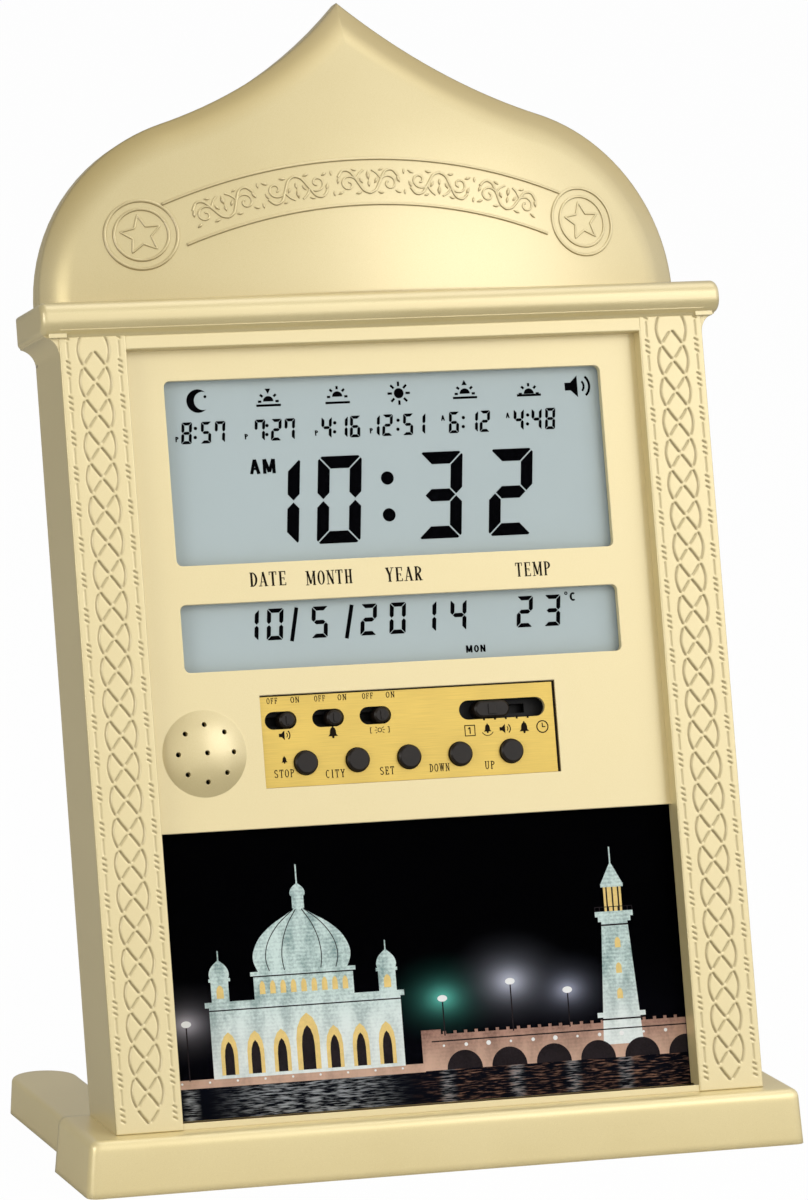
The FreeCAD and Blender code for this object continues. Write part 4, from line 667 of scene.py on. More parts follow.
def braidTree():
    sheet, _, size = treeInputs("braid", pilaster["inputs"])
    wide, tall = 2 * pilaster["half"], pilaster["top"]
    cells = [round(span / cell) + 1 for span, cell in zip((wide, tall), pilaster["cell"])]
    grid = sheet.node("GeometryNodeMeshGrid", (wide, tall, *cells))
    x, y, _ = sheet.parts(sheet.node("GeometryNodeInputPosition"))
    z = y + tall / 2

    def cutBy(distance):
        # 1 in the middle of a groove, 0 beside it, with sloping walls
        return (abs(distance) / size["Groove"]).step(*pilaster["walls"])

    rate = math.pi / 2 / size["Braid pitch"]
    phase = (z - size["Braid foot"]) * rate
    rows = (z - size["Braid foot"]) / size["Braid pitch"]
    inside = rows.above(-0.02) * rows.calc("LESS_THAN", pilaster["braidRows"] + 0.02)
    strands = []
    even, deeper = pilaster["strandDepth"]
    for quarter in range(4):
        angle = phase + quarter * math.pi / 2
        wave = angle.calc("SINE")
        slope = angle.calc("COSINE") * rate * size["Strand reach"]
        steep = (1 + slope * slope).root()
        middle = abs(wave).calc("ARCSINE") / rate * steep
        aside = abs((2 * angle).calc("COSINE")).calc("ARCSINE") / rate / 2 * steep
        passed = pilaster["passed"] * slope.above(0.0)  # strands leaning right are passed over for longer
        kept = (middle.atMost(aside) - size["Gap"] * (1 + passed)).step(*pilaster["crossing"])
        half = rows.above(0.47) if quarter % 2 else inside
        weight = even - deeper * slope / (rate * size["Strand reach"])  # strands leaning left go deepest
        strands.append(cutBy((x - wave * size["Strand reach"]) / steep) * kept * half * weight)
    up = (z - pilaster["knotFoot"]) / size["Knot pitch"]
    local = (up - up.calc("ROUND")) * size["Knot pitch"]  # mm from the nearest knot of three ticks
    beside = abs(x) - size["Side line"]
    line = cutBy(beside * 1.2) * pilaster["lineDepth"]
    line = line * abs(local).step(*pilaster["lineBreak"]) * z.step(*pilaster["lineFoot"])
    sideways = x.calc("SIGN") * beside * pilaster["tickSlant"]
    ends = abs(beside).step(pilaster["tickHalf"] + 0.2, pilaster["tickHalf"] - 0.1)
    ticks = []
    for n in (-1, 0, 1):
        across = (local - n * size["Tick pitch"] + sideways) / pilaster["tickSteep"]
        ticks.append(cutBy(across * 1.4) * pilaster["tickDepth"] * ends)
    knot = abs(local).calc("LESS_THAN", pilaster["knotReach"] * size["Tick pitch"])
    cuts = highest(strands).atLeast(line).atLeast(highest(ticks) * knot)
    rim = (1 - (pilaster["half"] - abs(x)) / pilaster["round"]).atLeast(0.0)
    crown = (1 - rim * rim).atLeast(0.0).root()
    height = crown * size["Relief"] - cuts * (size["Relief"] - pilaster["web"])
    spot = sheet.vector(x + size["Middle"], -1 * height, z)
    # the groove depth is also stored as the mask for painted shade in the grooves
    return sheet, sheet.smooth(sheet.moved(sheet.marked(grid, cuts), spot))


def closeBehind(piece, depth):
    # the skin's rim goes straight back and one face closes it
    work = bmesh.new()
    work.from_mesh(piece.data)
    rim = [edge for edge in work.edges if len(edge.link_faces) == 1]
    made = bmesh.ops.extrude_edge_only(work, edges=rim)["geom"]
    fresh = {item for item in made if isinstance(item, bmesh.types.BMVert)}
    for vertex in fresh:
        upright = toWorld.inverted() @ vertex.co
        vertex.co = toWorld @ Vector((upright.x, depth, upright.z))
    edges = [item for item in made if isinstance(item, bmesh.types.BMEdge)]
    bmesh.ops.contextual_create(work, geom=[edge for edge in edges if fresh.issuperset(edge.verts)])
    bmesh.ops.recalc_face_normals(work, faces=work.faces)
    for face in work.faces:
        if len(face.verts) > 4:
            face.smooth = False
    work.to_mesh(piece.data)
    work.free()


for side, name in ((-1, "pilaster_left"), (1, "pilaster_right")):
    sheet, last = braidTree()
    skin = grow(name, sheet, last, finishes["gold"], {"Middle": side * pilaster["inputs"]["Middle"]})
    closeBehind(skin, pilaster["back"])
    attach(skin, "case")

rail = {"half": 65.6, "front": -0.5, "back": 0.2, "low": 186.5, "high": 190.0, "round": 0.32}
rails = Bench()
low, high = (-rail["half"], rail["front"], rail["low"]), (rail["half"], rail["back"], rail["high"])
rails.softBox(low, high, rail["round"])
rails = rails.piece("recess_rail", finishes["gold"])
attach(rails, "case")
print("pilasters carved")

grip = {
    "count": 5,
    "half": 7.0,
    "pitch": 1.5,
    "tall": 0.7,
    "rise": 0.6,
    "sunk": 0.2,
    "fromTop": 2.6,
    "round": 0.2,
}


def doorGrip():
    # ribs for the fingertip along the battery door's upper edge
    spots = [toWorld.inverted() @ vertex.co for vertex in frame["nodes"]["battery_door"].data.vertices]
    back, top = max(spot.y for spot in spots), max(spot.z for spot in spots)
    ribs = Bench()
    for n in range(grip["count"]):
        z = top - grip["fromTop"] - grip["pitch"] * n
        low = (-grip["half"], back - grip["sunk"], z - grip["tall"])
        high = (grip["half"], back + grip["rise"], z)
        ribs.softBox(low, high, grip["round"], 2)
    ribs = ribs.piece("door_grip", finishes["gold"])
    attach(ribs, "battery_door")


doorGrip()
print("door ribbed")

crest = {
    "inputs": {
        "Dome radius": 205.0,
        "Dome height": 188.0,
        "Dome front": 0.2,
        "Flatness": 0.85,
        "Under shade": 1.0,
        "Sides": 10,
    },
    "bandRadius": 142.0,
    "bandMiddle": 84.25,
    "bandHalf": 5.75,
    "bandReach": 46.5,
    "bandTrim": (3.6, 2.6),  # how much further its upper and lower lines reach
    "bead": 0.42,
    "medal": (56.5, 215.7),
    "medalRings": ((8.5, 0.42), (6.35, 0.38)),  # radius and girth
    "star": (4.95, 2.3),  # out to a tip and in to a notch
    "starGirth": 0.28,
    "starTurn": 96,
    "stem": 0.34,
}
scroll = {  # half of one panel of the vine, in mm along the band and across it
    "pitch": 18.3,
    "stem": ((0.0, -3.0), (1.6, -2.2), (3.0, 0.2), (4.4, 2.5), (6.2, 2.9), (7.6, 1.4)),
    "curl": (5.2, -0.6, 150, -1.15, 2.3, 0.5),
    "shoot": ((3.2, 0.6), (2.2, 2.0), (1.0, 2.9)),
    "leaves": (  # place, degrees and length
        (7.6, 0.6, -70, 1.0),
        (1.9, 0.2, 60, 0.9),
        (3.4, 3.0, 20, 0.8),
        (7.4, -2.6, -25, 0.9),
        (2.9, -2.9, -10, 0.9),
    ),
    "middle": ((1.5, 1.2), (-0.6, 0.9)),
    "lozenge": (2.6, 0.75),
}


def bandSpot(along, across):
    # along the band in mm from its middle, across it from its centre line
    angle = along / crest["bandRadius"]
    reach = crest["bandRadius"] + across
    return (reach * math.sin(angle), crest["bandMiddle"] + reach * math.cos(angle))


def ornamentTree():
    sheet, start, size = treeInputs("ornament", crest["inputs"])

    def attribute(name):
        return sheet.node("GeometryNodeInputNamedAttribute", {"Name": name}, data_type="FLOAT")

    lines = sheet.node("GeometryNodeMeshToCurve", {"Mesh": start})
    profile = sheet.node("GeometryNodeCurvePrimitiveCircle", {"Resolution": size["Sides"], "Radius": 1.0})
    sweep = {"Curve": lines, "Profile Curve": profile, "Scale": attribute("girth"), "Fill Caps": True}
    swept = sheet.node("GeometryNodeCurveToMesh", sweep)
    ball = sheet.node("GeometryNodeMeshUVSphere", {"Segments": 8, "Rings": 6, "Radius": 1.0})
    x, y, z = sheet.parts(sheet.node("GeometryNodeInputPosition"))
    point = (1 - x * x * 0.75).atLeast(0.05)  # the leaf narrows to its ends
    leafSize = attribute("leaf")
    leaves = sheet.node("GeometryNodeInstanceOnPoints", {
        "Points": start,
        "Selection": leafSize.above(0.01),
        "Instance": sheet.moved(ball, sheet.vector(x, y * 0.4, z * 0.42 * point)),
        "Rotation": sheet.vector(y=-1 * attribute("turn")),
        "Scale": sheet.vector(leafSize, leafSize, leafSize),
    })
    whole = sheet.joined(swept, sheet.node("GeometryNodeRealizeInstances", {"Geometry": leaves}))
    x, y, z = sheet.parts(sheet.node("GeometryNodeInputPosition"))
    rise = z - size["Dome height"]
    reach = size["Dome radius"]
    face = size["Dome front"] + reach - (reach * reach - x * x - rise * rise).root()
    laid = sheet.moved(whole, sheet.vector(x, y * size["Flatness"] + face, z))
    facing = sheet.parts(sheet.node("GeometryNodeInputNormal"))
    # painted shade: the faces of each raised line that turn down and to the left are marked for darkening
    under = (-0.55 * facing[0] - 0.83 * facing[2]).step(-0.1, 0.45) * size["Under shade"]
    return sheet, sheet.smooth(sheet.marked(laid, under))


def growOrnament(name, lines, leaves):
    # lines: (points, girth, closed); leaves: (x, z, degrees, size)
    points, edges, girths = [], [], []
    for spots, girth, closed in lines:
        base = len(points)
        points += [(x, 0.0, z) for x, z in spots]
        girths += [girth] * len(spots)
        edges += [(base + n, base + n + 1) for n in range(len(spots) - 1)]
        if closed:
            edges.append((base + len(spots) - 1, base))
    base = len(points)
    points += [(x, 0.0, z) for x, z, _, _ in leaves]
    seed = bpy.data.meshes.new(name + "Seed")
    seed.from_pydata(points, edges, [])
    for key, values in (
        ("girth", girths + [0.0] * len(leaves)),
        ("turn", [0.0] * base + [math.radians(leaf[2]) for leaf in leaves]),
        ("leaf", [0.0] * base + [leaf[3] for leaf in leaves]),
    ):
        seed.attributes.new(key, "FLOAT", "POINT").data.foreach_set("value", values)
    sheet, last = ornamentTree()
    return grow(name, sheet, last, finishes["gold"], {}, seed)


def vine():
    # five panels of scrollwork with lozenges between them
    lines, leaves = [], []

    def leaf(along, across, degrees, long):
        x, z = bandSpot(along, across)
        leaves.append((x, z, degrees - math.degrees(x / crest["bandRadius"]), long))

    twigs = (
        (smoothLine(scroll["stem"]), 1.0),
        (curl(*scroll["curl"]), 0.85),
        (smoothLine(scroll["shoot"]), 0.8),
    )
    for panel in range(-2, 3):
        flip = -1 if panel % 2 else 1
        middle = panel * scroll["pitch"]
        for mirror in (-1, 1):
            for twig, share in twigs:
                spots = [bandSpot(middle + mirror * a, flip * b) for a, b in twig]
                lines.append((walk(spots), crest["stem"] * share, False))
            for a, b, degrees, long in scroll["leaves"]:
                turned = degrees * flip * mirror + (0 if mirror > 0 else 180)
                leaf(middle + mirror * a, flip * b, turned, long)
        for b, long in scroll["middle"]:
            leaf(middle, flip * b, 90, long)
    across, long = scroll["lozenge"]
    for gap in (-1.5, -0.5, 0.5, 1.5):
        for b in (-across, across):
            leaf(gap * scroll["pitch"], b, 90, long)
    return lines, leaves


def crestLines(steps=160):
    lines = []
    for across, trim in zip((crest["bandHalf"], -crest["bandHalf"]), crest["bandTrim"]):
        reach = crest["bandReach"] + trim
        spots = [bandSpot(-reach + 2 * reach * n / steps, across) for n in range(steps + 1)]
        lines.append((spots, crest["bead"], False))
    for side in (-1, 1):
        x, z = side * crest["medal"][0], crest["medal"][1]
        star = [polar(crest["star"][n % 2], crest["starTurn"] + 36 * n, x, z) for n in range(10)]
        lines.append((walk(star + [star[0]], 0.35)[:-1], crest["starGirth"], True))
        lines += [(circle(x, z, radius, 96), girth, True) for radius, girth in crest["medalRings"]]
    return lines


for piece in (growOrnament("crest_vine", *vine()), growOrnament("crest_band", crestLines(), [])):
    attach(piece, "case")
print("crest ornament laid")

display = {
    "front": 6.14,  # the ink lies on the glass, under the lens
    "thick": 0.07,
    "slant": 0.0945,
    "clock": {"width": 11.1, "height": 21.2, "bar": 3.0, "gap": 0.35, "level": 149.0},
    "times": {"width": 2.6, "height": 5.25, "bar": 0.72, "gap": 0.13, "level": 166.6},
    "date": {"width": 4.1, "height": 7.6, "bar": 1.0, "gap": 0.18, "level": 119.5},
    "colon": (1.1, 0.42),  # rise and radius of the small dots
    "dots": ((-0.25, 153.7), (-0.5, 144.7)),
    "dotRadius": 1.62,
    "slashes": (((-27.5, 115.2), (-25.74, 123.3)), ((-13.65, 115.2), (-11.76, 123.3))),
    "slashWidth": 0.95,
    "signs": (174.3, 6.2, 7.4),  # level and size of the small pictures, and size of the last
    "signRow": (-46.6, -28.9, -11.4, 4.3, 21.2, 37.7, 50.4),
    "degree": (0.42, 0.2, 43.2, 123.5),  # radii, x and z
    "noons": (("P", 165.2, (-52.5, -35.1)), ("P", 165.4, (-17.35, -3.4)), ("A", 167.8, (15.1, 31.8))),
    "noonSize": (1.3, 0.95),
    "words": (  # word, x, z, height and width
        ("AM", -31.5, 157.8, 3.5, 6.6),
        ("MON", 18.9, 111.1, 1.75, 5.0),
        ("C", 44.9, 122.6, 2.1, 1.7),
    ),
}
clockRow = ((-24.46, "1"), (-12.85, "0"), (12.95, "3"), (31.05, "2"))
dateRow = (
    (-36.05, "1"), (-31.42, "0"), (-20.15, "5"), (-7.73, "2"), (-0.35, "0"),
    (8.99, "1"), (15.17, "4"), (32.25, "2"), (39.35, "3"),
)
timeRows = (  # the middle of each figure, and of each colon
    (-49.99, "8", -47.8, -45.12, "5", -41.62, "7"),
    (-31.59, "7", -29.8, -27.44, "2", -24.04, "7"),
    (-14.71, "4", -12.64, -9.71, "1", -7.42, "6"),
    (-1.53, "1", 0.83, "2", 3.5, 6.09, "5", 10.13, "1"),
    (17.86, "6", 20.26, 23.67, "1", 25.81, "2"),
    (34.55, "4", 36.87, 39.19, "4", 42.72, "8"),
)
lit = {
    "0": "abcdef", "1": "bc", "2": "abged", "3": "abgcd", "4": "fgbc",
    "5": "afgcd", "6": "afgedc", "7": "abcf", "8": "abcdefg",
}


def segments(figure, look):
    w, h, t = look["width"] / 2, look["height"] / 2, look["bar"]
    k = look["gap"] / math.sqrt(2)
    e = 0.22 * t  # the clipped outer corners
    top = [(w - k - e, h), (w - k - e / 2, h - e / 2), (w - t - k, h - t)]
    top += [(-x, z) for x, z in reversed(top)]
    side = [(-w, h - k - e), (e / 2 - w, h - k - e / 2), (t - w, h - t - k)]
    side += [(t - w, t / 2 + k), (t / 2 - w, k), (-w, t / 2 + k)]
    middle = [(t + k - w, t / 2), (t / 2 + k - w, 0), (t + k - w, -t / 2)]
    middle += [(-x, z) for x, z in reversed(middle)]
    across = [(-x, z) for x, z in side]
    bars = {"a": top, "f": side, "b": across, "g": middle}
    for low, high in (("d", top), ("e", side), ("c", across)):
        bars[low] = [(x, -z) for x, z in high]
    return [bars[letter] for letter in lit[figure]]


def figureShapes(x, figure, look):
    if figure == "1":
        x -= (look["width"] - look["bar"]) / 2
    return placed(segments(figure, look), x, look["level"], 1.0, display["slant"])


def timeShapes(row):
    look, shapes = display["times"], []
    rise, radius = display["colon"]
    for place, mark in zip(row, row[1:] + (0.0,)):
        if isinstance(place, str):
            continue
        if isinstance(mark, str):
            shapes += figureShapes(place, mark, look)
        else:
            for up in (-rise, rise):
                shapes.append(circle(place + display["slant"] * up, look["level"] + up, radius, 12))
    return shapes


def halfDisc(x, z, radius, count=16):
    return arc(x, z, radius, radius, 0, 180, count)


def rays(inner, outer, angles, width=0.09, z=0.0):
    return [stroke(polar(inner, turn, z=z), polar(outer, turn, z=z), width) for turn in angles]


def crescent():
    outer = arc(0.0, 0.0, 0.46, 0.46, 50, 310, 20)
    inner = arc(0.2, 0.0, 0.36, 0.36, 292, 68, 16)
    return [outer + inner, circle(0.3, 0.16, 0.06, 8)]


def sunOver(lift, arrow=0):
    # a sun over a line, with an arrow for rising (1) or setting (-1)
    shapes = slabs(0.0, (0.5, -0.32, -0.23)) + [halfDisc(0.0, -0.12 + lift, 0.21)]
    shapes += rays(0.29, 0.42, (0, 40, 140, 180) if arrow else (0, 45, 90, 135, 180), z=lift - 0.12)
    if arrow:
        foot = 0.3 - 0.08 * arrow
        shapes.append([(-0.11, foot), (0.11, foot), (0.0, 0.3 + 0.12 * arrow)])
    return shapes


def highSun():
    return [circle(0.0, 0.0, 0.2, 20)] + rays(0.28, 0.46, range(0, 360, 45))


def bell():
    side = [(0.05, 0.42), (0.17, 0.33), (0.24, 0.14), (0.26, -0.12), (0.4, -0.28)]
    body = [(-x, z) for x, z in side] + side[::-1]
    return [body, circle(0.0, 0.44, 0.07, 8), halfDisc(0.0, -0.34, 0.1)] + slabs(0.0, (0.08, -0.44, -0.34))


def loudspeaker():
    horn = [(-0.44, 0.13), (-0.24, 0.13), (0.0, 0.36), (0.0, -0.36), (-0.24, -0.13), (-0.44, -0.13)]
    return [horn] + ring(0.26, 0.19, -45, 45, 6) + ring(0.46, 0.38, -48, 48, 8)


def clockFace():
    return ring(0.46, 0.38, steps=28) + [bar(-0.035, -0.03, 0.035, 0.28), bar(-0.035, -0.05, 0.22, 0.02)]


def lampMark():
    # a lamp with rays between two brackets
    shapes = ring(0.22, 0.15) + rays(0.3, 0.5, (0, 180, 35, 145, 215, 325), 0.06)
    for side in (-1, 1):
        shapes += slabs(side * 0.915, (0.035, -0.28, 0.28))
        shapes += slabs(side * 0.865, (0.085, -0.28, -0.22), (0.085, 0.22, 0.28))
    return shapes


def framedFigure():
    edge = slabs(0.0, (0.44, -0.44, -0.37), (0.44, 0.37, 0.44))
    edge += [bar(x - 0.035, -0.44, x + 0.035, 0.44) for x in (-0.405, 0.405)]
    return edge + [bar(-0.04, -0.26, 0.05, 0.26), stroke((0.0, 0.26), (-0.14, 0.12), 0.08)]


def alarmTimes():
    return placed(bell(), 0.0, 0.08, 0.8) + arcBand(0.0, -0.05, (0.5, 0.44), (0.44, 0.38), 200, 340, 10)


narrowRoman = {"thick": 0.16, "thin": 0.06, "foot": 0.05, "reach": 0.13, "space": 0.12}
smallRoman = {"thick": 0.13, "thin": 0.1, "foot": 0.07, "reach": 0.13, "space": 0.16}
boldPlain = {"thick": 0.2, "thin": 0.19, "foot": 0.0, "reach": 0.0, "space": 0.14}
letterWidths = {"I": 0.34, "M": 0.82, "W": 0.82, "other": 0.62}


def capital(letter, look):
    # strokes of a capital one unit tall
    thick, thin, foot, reach = (look[key] for key in ("thick", "thin", "foot", "reach"))
    top = 1 - thin

    def serifs(*spots):
        ends = [(x, 0.0 if z == 0.0 else 1.0 - foot) for x, z in spots]
        return [bar(x - reach, z, x + reach, z + foot) for x, z in ends] if foot else []

    def stem(x, weight=thick, feet=(0.0, 1.0)):
        return slabs(x, (weight / 2, 0.0, 1.0)) + serifs(*((x, z) for z in feet))

    def arm(x, z, drop):
        tip = [bar(x - thin, min(z, z + drop), x, max(z + thin, z + drop))] if foot else []
        return [bar(0.16, z, x, z + thin)] + tip

    def bowl(x, z, wide, tall, start=-90, end=90):
        return arcBand(x, z, (wide, tall), (wide - thick, tall - thin), start, end, 20)

    def line(x0, z0, x1, z1, weight=thick):
        return [stroke((x0, z0), (x1, z1), weight)]

    drops = [bar(0.02, 0.76, 0.02 + thin, 1.0), bar(0.6 - thin, 0.76, 0.6, 1.0)] if foot else []
    branches = line(0.1, 1.0, 0.31, 0.46) + line(0.54, 1.0, 0.33, 0.46, thin)
    hollow = arcBand(0.32, 0.31, (0.18 + thin / 2, 0.31), (0.18 - thin / 2, 0.31 - thin), 180, 360, 12)
    sides = slabs(0.14, (thick / 2, 0.3, 1.0)) + slabs(0.5, (thin / 2, 0.3, 1.0))
    valleys = []
    for x in (0.12, 0.42):
        valleys += line(x, 1.0, x + 0.14, 0.03) + line(x + 0.14, 0.03, x + 0.29, 1.0, thin)
    slopes = line(0.08, 0.0, 0.3, 1.0, thin) + line(0.52, 0.0, 0.3, 1.0)
    comb = stem(0.16) + arm(0.46, 0.49, -0.12) + arm(0.55, top, -0.2)
    flag = stem(0.16) + bowl(0.22, 0.73, 0.35, 0.27)
    return {
        "A": slopes + [bar(0.15, 0.28, 0.45, 0.28 + thin * 0.8)] + serifs((0.08, 0.0), (0.53, 0.0)),
        "C": bowl(0.33, 0.5, 0.3, 0.5, 50, 310),
        "D": stem(0.16) + bowl(0.2, 0.5, 0.4, 0.5),
        "E": comb + arm(0.57, 0.0, 0.2),
        "F": comb,
        "H": stem(0.15) + stem(0.49) + [bar(0.15, 0.47, 0.5, 0.47 + thin)],
        "I": stem(0.17),
        "M": stem(0.12, thin) + stem(0.68) + line(0.14, 1.0, 0.4, 0.1) + line(0.4, 0.1, 0.66, 1.0, thin),
        "N": stem(0.12, thin) + stem(0.53, thin, (1.0,)) + line(0.12, 0.97, 0.53, 0.03),
        "O": bowl(0.31, 0.5, 0.3, 0.5, 0, 360),
        "P": flag,
        "R": flag + line(0.3, 0.47, 0.5, 0.0) + serifs((0.53, 0.0)),
        "S": bowl(0.31, 0.74, 0.25, 0.26, 20, 270) + bowl(0.31, 0.27, 0.27, 0.27, -160, 90),
        "T": stem(0.31, feet=(0.0,)) + [bar(0.02, top, 0.6, 1.0)] + drops,
        "U": sides + hollow + serifs((0.14, 1.0), (0.5, 1.0)),
        "W": valleys + serifs((0.12, 1.0), (0.42, 1.0), (0.72, 1.0)),
        "Y": slabs(0.31, (thick / 2, 0.0, 0.5)) + branches + serifs((0.31, 0.0), (0.12, 1.0), (0.52, 1.0)),
    }[letter]


def lettering(word, x, z, tall, wide, look):
    shapes, reach = [], 0.0
    for letter in word:
        shapes += [[(reach + a, b) for a, b in shape] for shape in capital(letter, look)]
        reach += letterWidths.get(letter, letterWidths["other"]) + look["space"]
    reach -= look["space"]
    return [[(x + (a / reach - 0.5) * wide, z + (b - 0.5) * tall) for a, b in shape] for shape in shapes]


def displayInk():
    ink = Bench()
    front, thick = display["front"], display["thick"]
    marks = []
    for look, row in ((display["clock"], clockRow), (display["date"], dateRow)):
        for x, figure in row:
            marks += [[shape] for shape in figureShapes(x, figure, look)]
    for row in timeRows:
        marks += [[shape] for shape in timeShapes(row)]
    marks += [[circle(x, z, display["dotRadius"], 32)] for x, z in display["dots"]]
    marks += [[stroke(low, high, display["slashWidth"])] for low, high in display["slashes"]]
    level, size, large = display["signs"]
    signs = (crescent(), sunOver(0.0, -1), sunOver(0.08), highSun(), sunOver(0.0, 1), sunOver(-0.1))
    marks += [placed(sign, x, level, size) for sign, x in zip(signs, display["signRow"])]
    marks.append(placed(loudspeaker(), display["signRow"][-1], level, large))
    outer, inner, x, z = display["degree"]
    marks.append(ring(outer, inner, steps=12, x=x, z=z))
    marks += [lettering(*word, boldPlain) for word in display["words"]]
    for letter, z, row in display["noons"]:
        marks += [lettering(letter, x, z, *display["noonSize"], boldPlain) for x in row]
    for shapes in marks:
        ink.plate(shapes, front, thick)
    ink = ink.piece("display_figures", finishes["segment"])
    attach(ink, "case")


displayInk()
print("display figures laid")

marking = {
    "fascia": 3.46,  # where the ink starts, in front of each face
    "plate": 3.96,
    "thick": 0.06,
    "right": 37.4,
    "low": 80.0,
    "high": 102.2,
    "shadowLines": (0.3, 0.55),  # the painted shadow line over the plate and the one beside it
    "columns": (  # word, x, z and width
        ("DATE", -33.15, 130.3, 9.3),
        ("MONTH", -17.8, 130.0, 11.7),
        ("YEAR", 1.2, 129.9, 9.3),
        ("TEMP", 34.3, 129.6, 9.2),
    ),
    "columnTall": 3.45,
    "keys": (
        ("STOP", -32.6, 83.3, 5.1),
        ("CITY", -19.8, 82.6, 4.9),
        ("SET", -6.7, 82.6, 3.7),
        ("DOWN", 6.6, 82.6, 5.1),
        ("UP", 19.5, 82.5, 2.6),
    ),
    "keyTall": 1.95,
    "stops": (18.65, 2.8, 0.5, 93.4, 94.1),  # first mark over the long slot, pitch, width, and its ends
    "slides": (-34.3, -28.6, -22.3, -16.7, -10.2, -4.5),
    "slideWords": (("OFF", 2.8), ("ON", 2.2)),
    "slideZ": 100.9,
    "slideTall": 1.45,
}


def panelInk():
    words = Bench()
    front, thick = marking["plate"], marking["thick"]
    for word, x, z, width in marking["columns"]:
        roman = lettering(word, x, z, marking["columnTall"], width, narrowRoman)
        words.plate(roman, marking["fascia"], thick)
    # painted shadow: dark lines along the plate's top and right edges, in the label ink
    over, beside = marking["shadowLines"]
    right, under = marking["right"], marking["high"] - over
    marks = [[bar(-right, under, right, marking["high"])]]
    marks.append([bar(right - beside, marking["low"], right, under)])
    for n, x in enumerate(marking["slides"]):
        word, width = marking["slideWords"][n % 2]
        marks.append(lettering(word, x, marking["slideZ"], marking["slideTall"], width, smallRoman))
    for word, x, z, width in marking["keys"]:
        marks.append(lettering(word, x, z, marking["keyTall"], width, smallRoman))
    first, pitch, wide, low, high = marking["stops"]
    marks += [[bar(first + pitch * n, low, first + pitch * n + wide, high)] for n in range(5)]
    for mark, x, z, scale in (
        (loudspeaker(), -31.8, 92.5, 3.2),
        (bell(), -19.6, 92.5, 3.1),
        (lampMark(), -7.75, 92.5, 2.6),
        (framedFigure(), 15.1, 91.1, 3.1),
        (alarmTimes(), 19.6, 91.1, 3.1),
        (loudspeaker(), 24.1, 91.1, 3.2),
        (bell(), 29.0, 91.1, 3.1),
        (clockFace(), 33.7, 91.1, 3.4),
        (bell(), -32.3, 86.5, 1.9),
    ):
        marks.append(placed(mark, x, z, scale))
    for shapes in marks:
        words.plate(shapes, front, thick)
    words = words.piece("panel_marks", finishes["label"])
    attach(words, "case")


panelInk()
print("panel marked")

picture = {
    "half": 67.4,
    "low": 2.1,
    "high": 73.4,
    "front": 6.15,
    "back": 6.5,
    "layer": 0.006,  # each ink lies a little over the one before
    "shore": 11.5,
    "post": (18.0, 0.32),  # where a lamp post stands on the bridge, and its width
    "lampHead": (1.25, 0.8),
}
hall = {  # a slab is its half width, then its lower and upper edge
    "middle": -31.0,
    "walls": ((24.0, 11.5, 28.5), (25.0, 28.5, 29.8), (8.0, 26.0, 32.4)),
    "drum": ((12.5, 29.8, 35.4), (13.2, 35.4, 36.4)),
    "spire": ((1.5, 51.0, 54.0), (0.175, 57.0, 61.5)),
    "dome": (36.4, 12.2, 15.6),  # foot, half width and rise
    "lantern": (54.0, 1.9, 3.2),
    "ledges": ((24.0, 27.6, 27.9), (12.5, 35.1, 35.4)),
    "doors": (6.6, 12.3),  # pitch and sill
    "door": (2.1, 10.2),  # half width and rise
    "gate": (2.9, 13.6),
    "shadow": (0.55, 0.78),  # the dark part of a door
    "lights": (2.6, 31.0, 0.7, 3.2),  # pitch, sill, half width and rise
    "ribs": ((0.92, 0.0), (1.0, 0.2), (0.9, 0.45), (0.6, 0.7), (0.15, 0.92)),
    "ribTurn": 24,
    "ribWidth": 0.22,
    "turrets": 21.0,
    "turret": ((2.2, 29.8, 34.6), (2.7, 34.6, 35.4), (0.15, 39.5, 42.0)),
    "turretDome": (35.4, 2.5, 4.6),
    "turretLight": (30.6, 0.9, 3.2),
}
beacon = {
    "middle": 49.0,
    "shaft": (5.2, 13.0, 3.3, 44.0),  # half width and height, at the foot and at the top
    "roof": (2.8, 52.1, 57.4),
    "rings": ((4.9, 44.0, 45.3), (4.2, 42.8, 44.0), (6.2, 19.6, 20.8), (2.9, 51.2, 52.1)),
    "spire": (0.175, 57.0, 61.0),
    "lantern": (2.3, 45.3, 51.2),
    "lights": (0.2, 24.0, 6.2, 0.75, 2.6),  # shift, first sill, pitch, half width and rise
    "shadows": ((4.9, 46.3, 46.5), (3.6, 41.8, 42.2), (5.2, 18.9, 19.3)),
    "bars": ((1, 1.5, 0.2, 51.2), (4, 1.2, 0.12, 46.4)),  # on each side, pitch, half width and top
}
bridge = {
    "ends": (0.0, 65.4),
    "deck": ((9.8, 17.0), (17.0, 18.4)),
    "quay": (-65.4, 9.6, -2.0, 11.7),
    "pier": (2.5, 9.8, 19.6),
    "joint": (16.6, 16.9),
    "teeth": (24, 2.7, 0.3, 1.1, 18.4, 19.1),  # count, pitch, sides, foot and top
    "arches": (6, 8.0, 11.4, 9.8, 4.5),  # count, first, pitch, height and radius
    "lamps": (11, 3.0, 5.7, 15.6),
    "quayLamps": (9, -63.0, 6.9, 10.9),
}
# x, z, brightness and spread of each lamp's glow, with its tint
glows = (
    (3.5, 27.0, 1.0, 3.4, srgb(120, 235, 215)),
    (21.0, 30.0, 1.0, 3.8, srgb(232, 236, 255)),
    (35.5, 27.0, 0.9, 3.0, srgb(210, 215, 240)),
    (-61.0, 25.0, 0.85, 3.2, srgb(232, 226, 236)),
)


